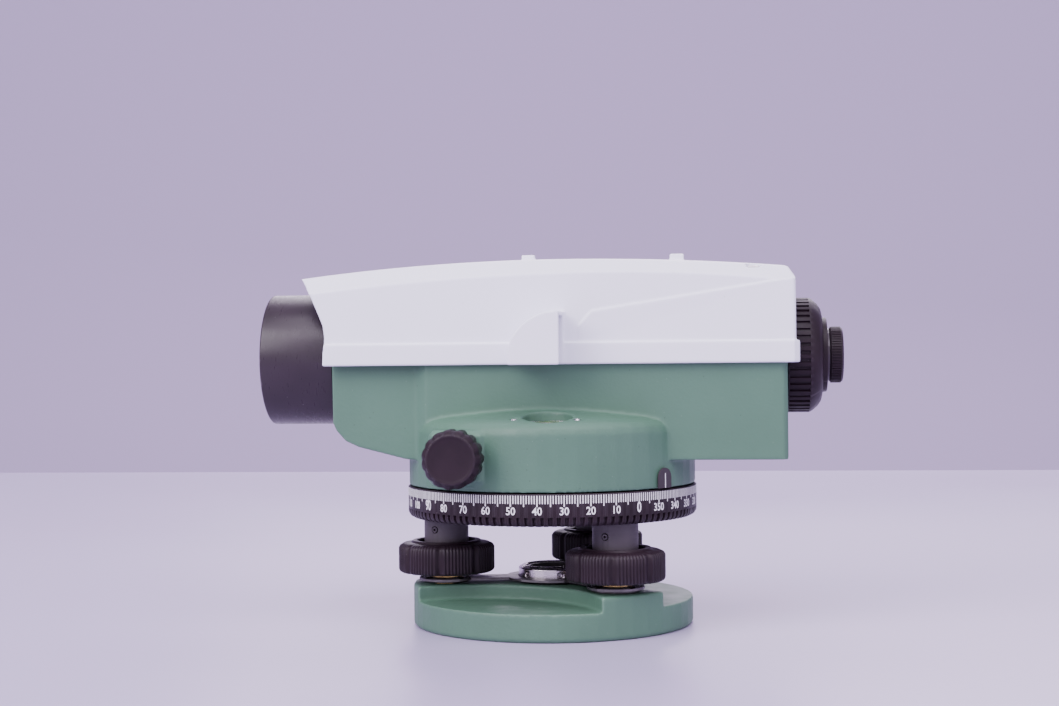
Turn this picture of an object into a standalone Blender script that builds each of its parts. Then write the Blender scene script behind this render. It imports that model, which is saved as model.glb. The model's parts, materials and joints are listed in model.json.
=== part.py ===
"""An automatic level on its three-screw base, for levelling work on a tripod.

Metres, +Z up. The origin is on the vertical axis, at the underside of the foot plate. +X points to the
eyepiece, -X to the objective, and the line of sight runs along X. Sizes below are in millimetres, and the
helpers turn them into metres.
"""

import math

import bmesh
import bpy
from mathutils import Matrix, Vector

MM = 0.001
MERGE = 0.00001
SMOOTH_ANGLE = math.radians(35)
GAP = 0.35  # between neighbours that do not move on each other

# Rounds: the number of sides of a full turn.
COARSE, MIDDLE, FINE = 12, 20, 48

# Foot plate
FOOT_R = 51.4
SHELF_Z = 9.9
PLATFORM_Z = 15.3
SCOOP_R = 45.9
SCOOP_DISTANCE = 64.4
TRIPOD_THREAD_R = 7.94  # 5/8 inch
TRIPOD_BUSH_R = 11.6
RING_NUT_R = 12.7
RING_NUT_TOP_Z = 21.4
TOMMY_HOLE_AZIMUTH = -72.0
SPRING_BOTTOM_Z, SPRING_TOP_Z = 16.3, 17.1

# Foot screws
SCREW_CIRCLE_R = 39.2
SCREW_AZIMUTHS = {"a": 189.4, "b": 309.4, "c": 69.4}
BALL_Z = 14.2
BALL_R = 4.5
SHAFT_R = 4.0
KNOB_RECESS_R = 10.4
KNOB_RECESS_Z = 26.6
SEAT_R = 8.65
SEAT_BOTTOM_Z = PLATFORM_Z + 0.8  # clear of the platform when seat a rolls with its screw
SEAT_TOP_Z = 18.3
SEAT_CLEARANCE = 0.6
FOOT_KNOB_R = 17.6
FOOT_KNOB_BOTTOM_Z = 19.25
FOOT_KNOB_TOP_Z = 30.8
BUSH_R = 8.1
BUSH_BOTTOM_Z = 29.8
BUSH_BORE_R = 6.2  # leaves room for the screws that stay upright while the tribrach tilts
PIN_AZIMUTH = 247.0
PIN_Z = 35.0

# Tribrach and horizontal circle
TRIBRACH_R = 48.5
TRIBRACH_BOTTOM_Z = 41.0
TRIBRACH_TOP_Z = 46.5
SLEEVE_R = 12.0
SLEEVE_TOP_Z = 65.6
SLEEVE_BOTTOM_Z = 39.8
CIRCLE_R = 53.0
CIRCLE_BOTTOM_Z = 39.8
CIRCLE_TOP_Z = 51.0
SPINDLE_R = 8.0
SPINDLE_END_Z = 36.2

# Housing
SIGHT_Z = 97.4  # height of the line of sight
DRUM_R = 52.6
DRUM_BOTTOM_Z = 51.5
DRUM_CEILING_Z = 66.8
BODY_HALF_Y = 29.0
BODY_TOP_Z = 98.0
BODY_BOTTOM_Z = 61.1
BODY_REAR_X = 85.5
FRONT_HALF_Y = 26.5
FRONT_X = -76.8
FLOOR_Z = 72.0
WALL = 3.0

# Worm drive
WORM_X = -28.6
WORM_SHAFT_R = 3.0
WORM_Z = 63.3
WORM_TEETH = 40
WORM_WHEEL_R = 24.7
WORM_WHEEL_PITCH_R = 24.3
WORM_LEAD = 2 * math.pi * WORM_WHEEL_PITCH_R / WORM_TEETH
TANGENT_KNOB_R = 10.3
TANGENT_KNOB_Y = 62.6

# Focusing
FOCUS_X = -50.0
FOCUS_Z = 85.0
FOCUS_SHAFT_R = 2.2
PINION_R = 3.0
PINION_TEETH = 10
FOCUS_KNOB_R = 14.0
GUIDE_R = 15.0

# Cover
COVER_BOTTOM_Z = 95.0
COVER_HALF_Y = 30.6
SKIRT_HALF_Y = 31.6
SKIRT_TOP_Z = 102.6
COVER_REAR_X = 88.4
SKIRT_REAR_X = 89.7
COVER_WALL = 2.0
HOOD_LEFT_X = -10.6
HOOD_RIGHT_X = 7.4
HOOD_TOP_Z = 113.5
HOOD_OUT_Y = -50.0

# Vial
VIAL_X = 2.5
VIAL_Y = -40.0
VIAL_POCKET_R = 8.8

# Objective and eyepiece, as distances from the vertical axis
BARREL_R = 24.1
BARREL_FRONT = 104.0
COLLAR_R = 20.8
EYE_TUBE_R = 9.6
DIOPTER_R = 10.2
DIOPTER_END = 106.2

# Compensator
PENDULUM_X = 13.0
PENDULUM_Z = 112.5

GREEN = ("green_paint", (0.19, 0.32, 0.27), 0.5, 0.0)
WHITE = ("white_plastic", (0.82, 0.82, 0.86), 0.45, 0.0)
BLACK = ("black_plastic", (0.025, 0.022, 0.026), 0.5, 0.0)
BLACK_METAL = ("black_anodised", (0.03, 0.027, 0.032), 0.4, 0.6)
STEEL = ("steel", (0.55, 0.54, 0.55), 0.3, 1.0)
DARK_STEEL = ("dark_steel", (0.16, 0.15, 0.16), 0.4, 1.0)
BRASS = ("brass", (0.72, 0.52, 0.22), 0.3, 1.0)
GLASS = ("glass", (0.8, 0.86, 0.86), 0.05, 0.0)
MIRROR = ("mirror", (0.85, 0.86, 0.88), 0.05, 1.0)

DIRECTIONS = {
    "Z": Matrix.Identity(4),
    "X": Matrix.Rotation(math.radians(90), 4, "Y"),
    "-X": Matrix.Rotation(math.radians(-90), 4, "Y"),
    "Y": Matrix.Rotation(math.radians(-90), 4, "X"),
    "-Y": Matrix.Rotation(math.radians(90), 4, "X"),
}

PARTS = bpy.data.collections.new("automatic_level")
TOOLS = bpy.data.collections.new("cutters")


def clear_scene():
    """Removes what the scene holds, and adds this model's two collections."""
    for obj in list(bpy.data.objects):
        bpy.data.objects.remove(obj)
    bpy.context.scene.collection.children.link(PARTS)
    bpy.context.scene.collection.children.link(TOOLS)


def material(finish):
    name, colour, roughness, metallic = finish
    found = bpy.data.materials.get(name)
    if found:
        return found
    made = bpy.data.materials.new(name)
    made.use_nodes = True
    shader = made.node_tree.nodes["Principled BSDF"]
    shader.inputs["Base Color"].default_value = (*colour, 1)
    shader.inputs["Roughness"].default_value = roughness
    shader.inputs["Metallic"].default_value = metallic
    return made


def new_object(name, mesh, finish, at=(0, 0, 0), along="Z", turn=0):
    """Adds a mesh as a part, or as a tool where it has no finish. Its +Z points along, turned about Z."""
    obj = bpy.data.objects.new(name, mesh)
    turned_z = Matrix.Rotation(math.radians(turn), 4, "Z")
    obj.matrix_world = Matrix.Translation(Vector(at) * MM) @ turned_z @ DIRECTIONS[along]
    if finish is None:
        obj.hide_render = True
        obj.display_type = "WIRE"
        TOOLS.objects.link(obj)
    else:
        mesh.materials.append(material(finish))
        PARTS.objects.link(obj)
    return obj


def turned(name, profile, steps=MIDDLE, finish=None, at=(0, 0, 0), along="Z"):
    """A solid of revolution from (radius, height) points that run down its outer side.

    A profile that starts on the axis makes a solid, and one that does not is closed into a ring.
    """
    points = [(radius * MM, 0, height * MM) for radius, height in profile]
    edges = [(i, i + 1) for i in range(len(points) - 1)]
    if profile[0][0] > 0:
        edges.append((len(points) - 1, 0))
    mesh = bpy.data.meshes.new(name)
    mesh.from_pydata(points, edges, [])
    obj = new_object(name, mesh, finish, at, along)
    screw = obj.modifiers.new("Turn", "SCREW")
    screw.steps = steps
    screw.render_steps = steps
    screw.use_merge_vertices = True
    screw.merge_threshold = MERGE
    return obj


def cylinder(name, radius, low, high, steps=MIDDLE, finish=None, at=(0, 0, 0), along="Z", turn=0):
    """A plain cylinder between two heights along its axis."""
    mesh = bpy.data.meshes.new(name)
    shape = bmesh.new()
    middle = Matrix.Translation((0, 0, (low + high) / 2 * MM))
    bmesh.ops.create_cone(
        shape,
        cap_ends=True,
        segments=steps,
        radius1=radius * MM,
        radius2=radius * MM,
        depth=(high - low) * MM,
        matrix=middle,
    )
    shape.to_mesh(mesh)
    shape.free()
    return new_object(name, mesh, finish, at, along, turn)


def box(name, low, high, finish=None, at=(0, 0, 0), turn=0):
    """A box between two corners, both measured from its origin."""
    size = [(h - l) * MM for l, h in zip(low, high)]
    centre = [(l + h) / 2 * MM for l, h in zip(low, high)]
    mesh = bpy.data.meshes.new(name)
    shape = bmesh.new()
    bmesh.ops.create_cube(shape, size=1, matrix=Matrix.Translation(centre) @ Matrix.Diagonal((*size, 1)))
    shape.to_mesh(mesh)
    shape.free()
    return new_object(name, mesh, finish, at, "Z", turn)


def mesh_of_curve(curve):
    """The closed mesh of a curve object's data, its caps welded on and its faces pointing out."""
    guide = bpy.data.objects.new(curve.name + "_guide", curve)
    TOOLS.objects.link(guide)
    mesh = bpy.data.meshes.new_from_object(guide.evaluated_get(bpy.context.evaluated_depsgraph_get()))
    bpy.data.objects.remove(guide)
    shape = bmesh.new()
    shape.from_mesh(mesh)
    bmesh.ops.remove_doubles(shape, verts=shape.verts, dist=MERGE)
    bmesh.ops.recalc_face_normals(shape, faces=shape.faces)
    shape.to_mesh(mesh)
    shape.free()
    return mesh


def prism(name, outline, low, high, finish=None, at=(0, 0, 0), along="Z", turn=0):
    """A flat outline given a thickness from low to high along its own normal."""
    curve = bpy.data.curves.new(name, "CURVE")
    curve.dimensions = "2D"
    curve.fill_mode = "BOTH"
    curve.extrude = (high - low) / 2 * MM
    spline = curve.splines.new("POLY")
    spline.points.add(len(outline) - 1)
    for point, (x, y) in zip(spline.points, outline):
        point.co = (x * MM, y * MM, 0, 1)
    spline.use_cyclic_u = True
    mesh = mesh_of_curve(curve)
    mesh.transform(Matrix.Translation((0, 0, (low + high) / 2 * MM)))
    return new_object(name, mesh, finish, at, along, turn)


def side_prism(name, outline, low_y, high_y, finish=None, at=(0, 0, 0), turn=0):
    """A prism whose outline is (x, z) points in the side view, between two places along Y."""
    return prism(name, outline, -high_y, -low_y, finish, at, "-Y", turn)


def boolean(target, operation, tools, solver="EXACT"):
    for tool in tools:
        modifier = target.modifiers.new(operation.title(), "BOOLEAN")
        modifier.operation = operation
        modifier.object = tool
        modifier.solver = solver
    return target


def cut(target, *tools):
    return boolean(target, "DIFFERENCE", tools)


def join(target, *tools):
    return boolean(target, "UNION", tools)


def bevel(target, width, segments=1, angle=40):
    modifier = target.modifiers.new("Bevel", "BEVEL")
    modifier.width = width * MM
    modifier.segments = segments
    modifier.limit_method = "ANGLE"
    modifier.angle_limit = math.radians(angle)
    return target


def polar(radius, degrees):
    angle = math.radians(degrees)
    return radius * math.cos(angle), radius * math.sin(angle)


def arc(centre, radius, start, end, count):
    """Points of an arc, from one angle to another in degrees."""
    angles = [start + (end - start) * i / count for i in range(count + 1)]
    return [(centre[0] + x, centre[1] + y) for x, y in (polar(radius, a) for a in angles)]


def lobed_outline(radius, lobes, depth, steps):
    """A round outline that dips between its lobes."""
    outline = []
    for i in range(steps):
        degrees = 360 * i / steps
        dip = depth * (0.5 - 0.5 * math.cos(math.radians(degrees * lobes)))
        outline.append(polar(radius - dip, degrees))
    return outline


def gear_outline(tip_r, root_r, teeth, tip_share, root_share, offset=0.0):
    """A toothed outline. The shares are those of a pitch that a tooth takes at its tip and its root."""
    outline = []
    pitch = 360 / teeth
    for i in range(teeth):
        middle = pitch * i + offset
        outline.append(polar(root_r, middle - pitch * root_share / 2))
        outline.append(polar(tip_r, middle - pitch * tip_share / 2))
        outline.append(polar(tip_r, middle + pitch * tip_share / 2))
        outline.append(polar(root_r, middle + pitch * root_share / 2))
    return outline


def foot_plate():
    """The casting that the tripod screw holds: a disc with three lobes left between three scoops."""
    plate = turned(
        "foot_plate",
        [
            (FOOT_R - 0.7, PLATFORM_Z),
            (FOOT_R, PLATFORM_Z - 0.7),
            (FOOT_R, 0.9),
            (FOOT_R - 0.9, 0),
            (TRIPOD_BUSH_R + GAP, 0),
            (TRIPOD_BUSH_R + GAP, PLATFORM_Z),
        ],
        FINE,
        GREEN,
    )
    for name, azimuth in SCREW_AZIMUTHS.items():
        x, y = polar(SCOOP_DISTANCE, azimuth + 60)
        cut(plate, cylinder(f"scoop_{name}", SCOOP_R, SHELF_Z, PLATFORM_Z + 5, 64, at=(x, y, 0)))
        x, y = polar(SCREW_CIRCLE_R, azimuth)
        cut(plate, cylinder(f"pocket_{name}", 5.6, 9, PLATFORM_Z + 5, COARSE, at=(x, y, 0)))


def centre_pieces():
    """The threaded bush for the tripod screw, the spring plate and the ring nut above it."""
    neck_r = 9.4
    turned(
        "tripod_bush",
        [
            (neck_r, 20.6),
            (neck_r, 14.9),
            (TRIPOD_BUSH_R, 14.9),
            (TRIPOD_BUSH_R, 0.4),
            (TRIPOD_THREAD_R, 0.4),
            (TRIPOD_THREAD_R, 20.6),
        ],
        MIDDLE,
        DARK_STEEL,
    )
    nut = turned(
        "clamp_ring_nut",
        [
            (RING_NUT_R - 2.0, RING_NUT_TOP_Z),
            (RING_NUT_R, RING_NUT_TOP_Z - 1.0),
            (RING_NUT_R, PLATFORM_Z + 0.3),
            (neck_r + GAP, PLATFORM_Z + 0.3),
            (neck_r + GAP, RING_NUT_TOP_Z),
        ],
        MIDDLE,
        STEEL,
    )
    for i in range(6):
        azimuth = 60 * i + TOMMY_HOLE_AZIMUTH
        cut(nut, cylinder(f"tommy_hole_{i}", 1.0, 10.5, 15, 8, at=(0, 0, 18.2), along="X", turn=azimuth))

    low, high = SPRING_BOTTOM_Z, SPRING_TOP_Z
    hole_r = SEAT_R + SEAT_CLEARANCE
    plate = cylinder("spring_plate", 17.5, low, high, MIDDLE, DARK_STEEL)
    arms, holes = [], []
    for name, azimuth in SCREW_AZIMUTHS.items():
        x, y = polar(SCREW_CIRCLE_R, azimuth)
        arms.append(box(f"spring_arm_{name}", (12, -5, low + 0.02), (31, 5, high - 0.02), turn=azimuth))
        arms.append(cylinder(f"spring_eye_{name}", 10.2, low, high, MIDDLE, at=(x, y, 0)))
        holes.append(cylinder(f"spring_hole_{name}", hole_r, low - 1, high + 1, MIDDLE, at=(x, y, 0)))
    join(plate, *arms)
    cut(plate, *holes, cylinder("spring_centre", RING_NUT_R + GAP, low - 1, high + 1))


def foot_screws():
    """For each foot screw: its seat, the screw with its ball, and the knob fixed on it."""
    neck_r = 3.0
    neck_z = BALL_Z + math.sqrt(BALL_R**2 - neck_r**2)
    ball_start = math.degrees(math.asin((neck_z - BALL_Z) / BALL_R))
    ball = [(max(r, 0), z) for r, z in arc((0, BALL_Z), BALL_R, ball_start, -90, 5)]
    ball[-1] = (0, ball[-1][1])
    for name, azimuth in SCREW_AZIMUTHS.items():
        x, y = polar(SCREW_CIRCLE_R, azimuth)
        at = (x, y, 0)
        seat = turned(
            f"foot_seat_{name}",
            [
                (SEAT_R - 0.5, SEAT_TOP_Z),
                (SEAT_R, SEAT_TOP_Z - 0.5),
                (SEAT_R, SEAT_BOTTOM_Z),
                (5.0, SEAT_BOTTOM_Z),
                (5.0, SEAT_BOTTOM_Z + 1),
                (4.0, SEAT_BOTTOM_Z + 1),
                (4.0, SEAT_TOP_Z),
            ],
            MIDDLE,
            DARK_STEEL,
            at,
        )
        slot_azimuth = PIN_AZIMUTH - 20
        dx, dy = polar(8, slot_azimuth)
        slot_at = (x + dx, y + dy, 0)
        cut(seat, box(f"seat_slot_{name}", (-2.6, -1.2, 16.9), (2.6, 1.2, 20), None, slot_at, slot_azimuth))
        turned(
            f"foot_screw_{name}",
            [
                (0, 42.5),
                (SHAFT_R - 0.6, 42.5),
                (SHAFT_R, 41.9),
                (SHAFT_R, 18.95),
                (6.2, 18.95),
                (6.2, 18.6),
                (neck_r, 18.6),
                *ball,
            ],
            MIDDLE,
            BRASS,
            at,
        )
        knob = prism(
            f"foot_knob_{name}",
            lobed_outline(FOOT_KNOB_R, 8, 0.9, 48),
            FOOT_KNOB_BOTTOM_Z,
            FOOT_KNOB_TOP_Z,
            BLACK,
            at,
        )
        bevel(knob, 0.9)
        bore = turned(
            f"knob_bore_{name}",
            [
                (0, FOOT_KNOB_TOP_Z + 1),
                (KNOB_RECESS_R, FOOT_KNOB_TOP_Z + 1),
                (KNOB_RECESS_R, KNOB_RECESS_Z),
                (SHAFT_R + GAP, KNOB_RECESS_Z),
                (SHAFT_R + GAP, FOOT_KNOB_BOTTOM_Z - 1),
                (0, FOOT_KNOB_BOTTOM_Z - 1),
            ],
            MIDDLE,
            None,
            at,
        )
        cut(knob, bore)


def tribrach():
    """The plate that rides on the foot screws, with their bushes and the bearing sleeve."""
    plate = turned(
        "tribrach_plate",
        [
            (TRIBRACH_R - 1, TRIBRACH_TOP_Z),
            (TRIBRACH_R, TRIBRACH_TOP_Z - 1),
            (TRIBRACH_R, TRIBRACH_BOTTOM_Z + 1),
            (TRIBRACH_R - 1, TRIBRACH_BOTTOM_Z),
            (SLEEVE_R + GAP, TRIBRACH_BOTTOM_Z),
            (SLEEVE_R + GAP, TRIBRACH_TOP_Z),
        ],
        FINE,
        BLACK_METAL,
    )
    for name, azimuth in SCREW_AZIMUTHS.items():
        x, y = polar(SCREW_CIRCLE_R, azimuth)
        at = (x, y, 0)
        low, high = TRIBRACH_BOTTOM_Z - 1, TRIBRACH_TOP_Z + 1
        cut(plate, cylinder(f"bush_hole_{name}", BUSH_R + GAP, low, high, at=at))
        bush = turned(
            f"foot_bush_{name}",
            [
                (0, TRIBRACH_TOP_Z),
                (BUSH_R, TRIBRACH_TOP_Z),
                (BUSH_R, BUSH_BOTTOM_Z),
                (BUSH_BORE_R, BUSH_BOTTOM_Z),
                (BUSH_BORE_R, TRIBRACH_TOP_Z - 0.7),
                (0, TRIBRACH_TOP_Z - 0.7),
            ],
            MIDDLE,
            BLACK_METAL,
            at,
        )
        pin_at = (x, y, PIN_Z)
        place = {"at": pin_at, "along": "X", "turn": PIN_AZIMUTH}
        cut(bush, cylinder(f"pin_hole_{name}", 1.35, 4, 12, COARSE, **place))
        pin = cylinder(f"bush_pin_{name}", 1.0, 6.6, BUSH_R + 0.15, COARSE, BLACK_METAL, **place)
        cut(pin, cylinder(f"pin_socket_{name}", 0.5, BUSH_R - 0.6, BUSH_R + 1, 6, **place))
    turned(
        "spindle_sleeve",
        [
            (SLEEVE_R, SLEEVE_TOP_Z),
            (SLEEVE_R, SLEEVE_BOTTOM_Z),
            (SPINDLE_R + GAP, SLEEVE_BOTTOM_Z),
            (SPINDLE_R + GAP, SLEEVE_TOP_Z),
        ],
        MIDDLE,
        STEEL,
    )


def horizontal_circle():
    """The graduated ring, which turns on the sleeve by hand to set its zero."""
    turned(
        "horizontal_circle",
        [
            (CIRCLE_R - 0.3, CIRCLE_TOP_Z),
            (CIRCLE_R, CIRCLE_TOP_Z - 0.3),
            (CIRCLE_R, CIRCLE_BOTTOM_Z + 2.4),
            (CIRCLE_R - 0.6, CIRCLE_BOTTOM_Z + 0.8),
            (CIRCLE_R - 1.8, CIRCLE_BOTTOM_Z),
            (49.9, CIRCLE_BOTTOM_Z),
            (49.9, 47.4),
            (SLEEVE_R + GAP, 47.4),
            (SLEEVE_R + GAP, 50.0),
            (50.2, 50.0),
            (50.2, CIRCLE_TOP_Z),
        ],
        FINE,
        BLACK,
    )


def spindle():
    """The inner spindle that carries the housing, and the nut that keeps it in the sleeve."""
    top = 71.5
    neck_r = 5.0
    shoulder = SLEEVE_BOTTOM_Z + 2.0
    turned(
        "inner_spindle",
        [
            (0, top),
            (SPINDLE_R, top),
            (SPINDLE_R, shoulder),
            (neck_r, shoulder),
            (neck_r, SPINDLE_END_Z),
            (0, SPINDLE_END_Z),
        ],
        MIDDLE,
        STEEL,
    )
    nut_low, nut_high = SPINDLE_END_Z + 0.5, SLEEVE_BOTTOM_Z - 0.4
    turned(
        "spindle_nut",
        [(10.5, nut_high), (10.5, nut_low), (neck_r + GAP, nut_low), (neck_r + GAP, nut_high)],
        COARSE,
        STEEL,
    )


def housing_outside():
    """The solid outside of the housing casting: telescope body, drum, platform and bosses."""
    rear = BODY_REAR_X
    plan = [
        (-46.5, -FRONT_HALF_Y + 0.2),
        (-42.2, -BODY_HALF_Y),
        (rear - 1.5, -BODY_HALF_Y),
        (rear, -BODY_HALF_Y + 1.5),
        (rear, BODY_HALF_Y - 1.5),
        (rear - 1.5, BODY_HALF_Y),
        (-42.2, BODY_HALF_Y),
        (-46.5, FRONT_HALF_Y - 0.2),
    ]
    housing = prism("main_housing", plan, BODY_BOTTOM_Z, BODY_TOP_Z, GREEN)
    front_side = [
        (FRONT_X, BODY_TOP_Z),
        (FRONT_X + 0.4, 74.6),
        (-75.2, 71.8),
        (-71.7, 68.0),
        (-66.8, 65.8),
        (-49.5, 61.4),
        (-40, 61.0),
        (-40, BODY_TOP_Z),
    ]
    front = side_prism("housing_front", front_side, -FRONT_HALF_Y, FRONT_HALF_Y)
    drum = turned(
        "housing_drum",
        [
            (0, 80.6),
            (29, 78.9),
            (47, 76.0),
            (50.2, 74.9),
            (51.9, 73.3),
            (DRUM_R, 71.2),
            (DRUM_R, DRUM_BOTTOM_Z),
            (0, DRUM_BOTTOM_Z),
        ],
        FINE,
    )
    left = box("housing_boss_left", (-38.2, -50, 53.5), (-18.2, -34, 72.8))
    right = box("housing_boss_right", (-38.2, 34, 53.5), (-18.2, 50, 72.8))
    bevel(left, 1.8)
    bevel(right, 1.8)
    focus = cylinder("housing_focus_boss", 8, 22, 33, at=(FOCUS_X, 0, FOCUS_Z), along="Y")
    sight = (0, 0, SIGHT_Z)
    front_ring = cylinder("housing_front_ring", 25.6, 71.3, -FRONT_X - 0.02, FINE, at=sight, along="-X")
    rear_ring = cylinder("housing_rear_ring", 17, 82.5, rear - 0.02, at=sight, along="X")
    return join(housing, front, drum, left, right, focus, front_ring, rear_ring)


def main_housing():
    """The housing casting: its outside, hollowed for the optics above and the drive below."""
    housing = housing_outside()
    inner_y = BODY_HALF_Y - WALL
    above = 140
    cut(
        housing,
        box("tub_rear", (-38, -inner_y, FLOOR_Z), (BODY_REAR_X - WALL, inner_y, above)),
        box("tub_front", (-71.3, -23.5, FLOOR_Z + 0.01), (-37, 23.5, above)),
        box("tub_low", (54, -inner_y + 0.01, 64.3), (BODY_REAR_X - WALL - 0.01, inner_y - 0.01, 80)),
    )
    cradles = []
    for name, low, high, half_y in (("front", -58, -55.5, 24), ("rear", -26, -23.5, 27)):
        cradle = box(f"cradle_{name}", (low, -half_y, FLOOR_Z - 0.7), (high, half_y, 104))
        cradles.append(cradle)
    cradles.append(box("cradle_reticle", (62, -27, FLOOR_Z - 9), (65, 27, 104)))
    join(housing, *cradles)
    cut(
        housing,
        cylinder("bore_objective", 22.0, 68, 80, FINE, at=(0, 0, SIGHT_Z), along="-X"),
        cylinder("bore_eyepiece", EYE_TUBE_R + 0.45, 80, 90, at=(0, 0, SIGHT_Z), along="X"),
        cylinder("bore_guide", GUIDE_R + GAP, 20, 60, at=(0, 0, SIGHT_Z), along="-X"),
        cylinder("bore_reticle", 11.4, 60, 67, at=(0, 0, SIGHT_Z), along="X"),
        box("rack_window", (-60, 14.4, 86.0), (-54, 20.4, 93.0)),
        cylinder("drum_hollow", 48.5, DRUM_BOTTOM_Z - 2, DRUM_CEILING_Z, FINE),
        box("worm_slot", (WORM_X - 6.5, -13, 60), (WORM_X + 6.5, 13, 69.3)),
        cylinder("bore_worm", 5.5, -60, 60, COARSE, at=(WORM_X, 0, WORM_Z), along="Y"),
        cylinder("bore_spindle", SPINDLE_R + 0.4, DRUM_CEILING_Z - 2, FLOOR_Z + 2),
        cylinder("vial_pocket", VIAL_POCKET_R, 68.6, 85, MIDDLE, at=(VIAL_X, VIAL_Y, 0)),
        cylinder("bore_focus", 5.5, 20, 40, COARSE, at=(FOCUS_X, 0, FOCUS_Z), along="Y"),
        cylinder("vial_screw_hole_1", 1.55, 70, 85, 12, at=(-8.9, -43.5, 0)),
        cylinder("vial_screw_hole_2", 1.55, 70, 85, 12, at=(12.9, -43.5, 0)),
    )


def roof_z(x):
    """Height of the cover's roof near its edge."""
    if x < 5:
        return 132.4 - 5.9 * ((5 - x) / 95) ** 2
    return 132.4 - 3.5 * ((x - 5) / 81) ** 2


def shoulder_z(x):
    """Height of the cover's side where its chamfer starts."""
    if x < 25:
        return 127.4 - 5.7 * ((25 - x) / 102) ** 2
    return 127.4 - 3.6 * ((x - 25) / 59) ** 2


def cover_section(x, inset, bottom):
    """Half of the cover's section at one place along X, from its bottom edge to the middle of the roof."""
    return [
        (COVER_HALF_Y - inset, bottom),
        (COVER_HALF_Y - inset, SKIRT_TOP_Z),
        (COVER_HALF_Y - 0.5 - inset, shoulder_z(x) - 0.6 * inset),
        (24.8 - 0.5 * inset, roof_z(x) - 0.3 - inset),
        (12.0, roof_z(x) + 0.6 - inset),
        (0, roof_z(x) + 1.0 - inset),
    ]


def cover_block(name, low_x, high_x, inset, bottom, finish=None):
    """A loft of the cover's sections, closed at both ends and below."""
    stations = 16
    shape = bmesh.new()
    rings = []
    for i in range(stations + 1):
        x = low_x + (high_x - low_x) * i / stations
        half = cover_section(x, inset, bottom)
        ring = half + [(-y, z) for y, z in reversed(half[:-1])]
        rings.append([shape.verts.new((x * MM, y * MM, z * MM)) for y, z in ring])
    for first, second in zip(rings, rings[1:]):
        for i in range(len(first)):
            j = (i + 1) % len(first)
            shape.faces.new((first[i], first[j], second[j], second[i]))
    shape.faces.new(rings[0])
    shape.faces.new(reversed(rings[-1]))
    bmesh.ops.recalc_face_normals(shape, faces=shape.faces)
    mesh = bpy.data.meshes.new(name)
    shape.to_mesh(mesh)
    shape.free()
    return new_object(name, mesh, finish)


def hood_outline(inset, bottom, right):
    """The mirror hood seen from the side: straight below, then a quarter round up to its right edge."""
    left = HOOD_LEFT_X + inset
    top = HOOD_TOP_Z - inset
    straight = 97.5
    round_x = HOOD_RIGHT_X - left - 0.5
    curve = []
    for i in range(9):
        angle = math.radians(180 - 90 * i / 8)
        curve.append((left + round_x * (1 + math.cos(angle)), straight + (top - straight) * math.sin(angle)))
    return [(left, bottom), *curve, (right, top), (right, bottom)]


def top_cover():
    """The white cover: a lofted shell with a proud skirt, the mirror hood and two sights."""
    cover = cover_block("top_cover", -90.5, COVER_REAR_X, 0, COVER_BOTTOM_Z, WHITE)
    rear = SKIRT_REAR_X
    plan = [
        (-90.5, -SKIRT_HALF_Y),
        (rear - 2, -SKIRT_HALF_Y),
        (rear, -SKIRT_HALF_Y + 2),
        (rear, SKIRT_HALF_Y - 2),
        (rear - 2, SKIRT_HALF_Y),
        (-90.5, SKIRT_HALF_Y),
    ]
    skirt = prism("cover_skirt", plan, COVER_BOTTOM_Z, SKIRT_TOP_Z)
    hood = side_prism("cover_hood", hood_outline(0, COVER_BOTTOM_Z + 0.01, HOOD_RIGHT_X), HOOD_OUT_Y, -29.9)
    sights = [
        box("sight_front", (-10.4, -1.6, 131.5), (-5.6, 1.6, 135.2)),
        box("sight_rear", (44.1, -1.6, 130.5), (49.2, 1.6, 134.9)),
    ]
    join(cover, skirt, hood, *sights)
    edge = [
        (-95, 90),
        (-79.2, 90),
        (-79.1, 95.2),
        (-78.7, 100.8),
        (-78.5, 105.1),
        (-79.0, 109.3),
        (-80.7, 113.6),
        (-83.5, 120.0),
        (-87.4, 126.0),
        (-89.8, 129.0),
        (-89.8, 140),
        (-95, 140),
    ]
    lower_y = BODY_HALF_Y + 0.45
    cut(
        cover,
        cover_block("cover_hollow", -93, COVER_REAR_X - COVER_WALL, COVER_WALL, COVER_BOTTOM_Z + 2),
        box("cover_mouth", (-93, -lower_y, 90), (COVER_REAR_X - COVER_WALL - 0.01, lower_y, 99)),
        side_prism("cover_front_edge", edge, -60, 60),
        cylinder("collar_arch", COLLAR_R + 0.5, 80, 95, FINE, at=(0, 0, SIGHT_Z), along="X"),
        side_prism("hood_hollow", hood_outline(1.5, 90, 12), HOOD_OUT_Y + 1.5, -32.2),
    )
    for name, y in (("left", -19), ("right", 19)):
        at = (74, y, 0)
        recess = cylinder(f"screw_recess_{name}", 2.6, 128.6, 140, COARSE, at=at)
        cut(cover, recess, cylinder(f"screw_hole_{name}", 1.35, 120, 140, 12, at=at))
        turned(
            f"cover_screw_{name}",
            [(0, 130.1), (1.7, 130.1), (2.2, 129.6), (2.2, 128.9), (1.0, 128.9), (1.0, 122), (0, 122)],
            COARSE,
            STEEL,
            at,
        )


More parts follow.
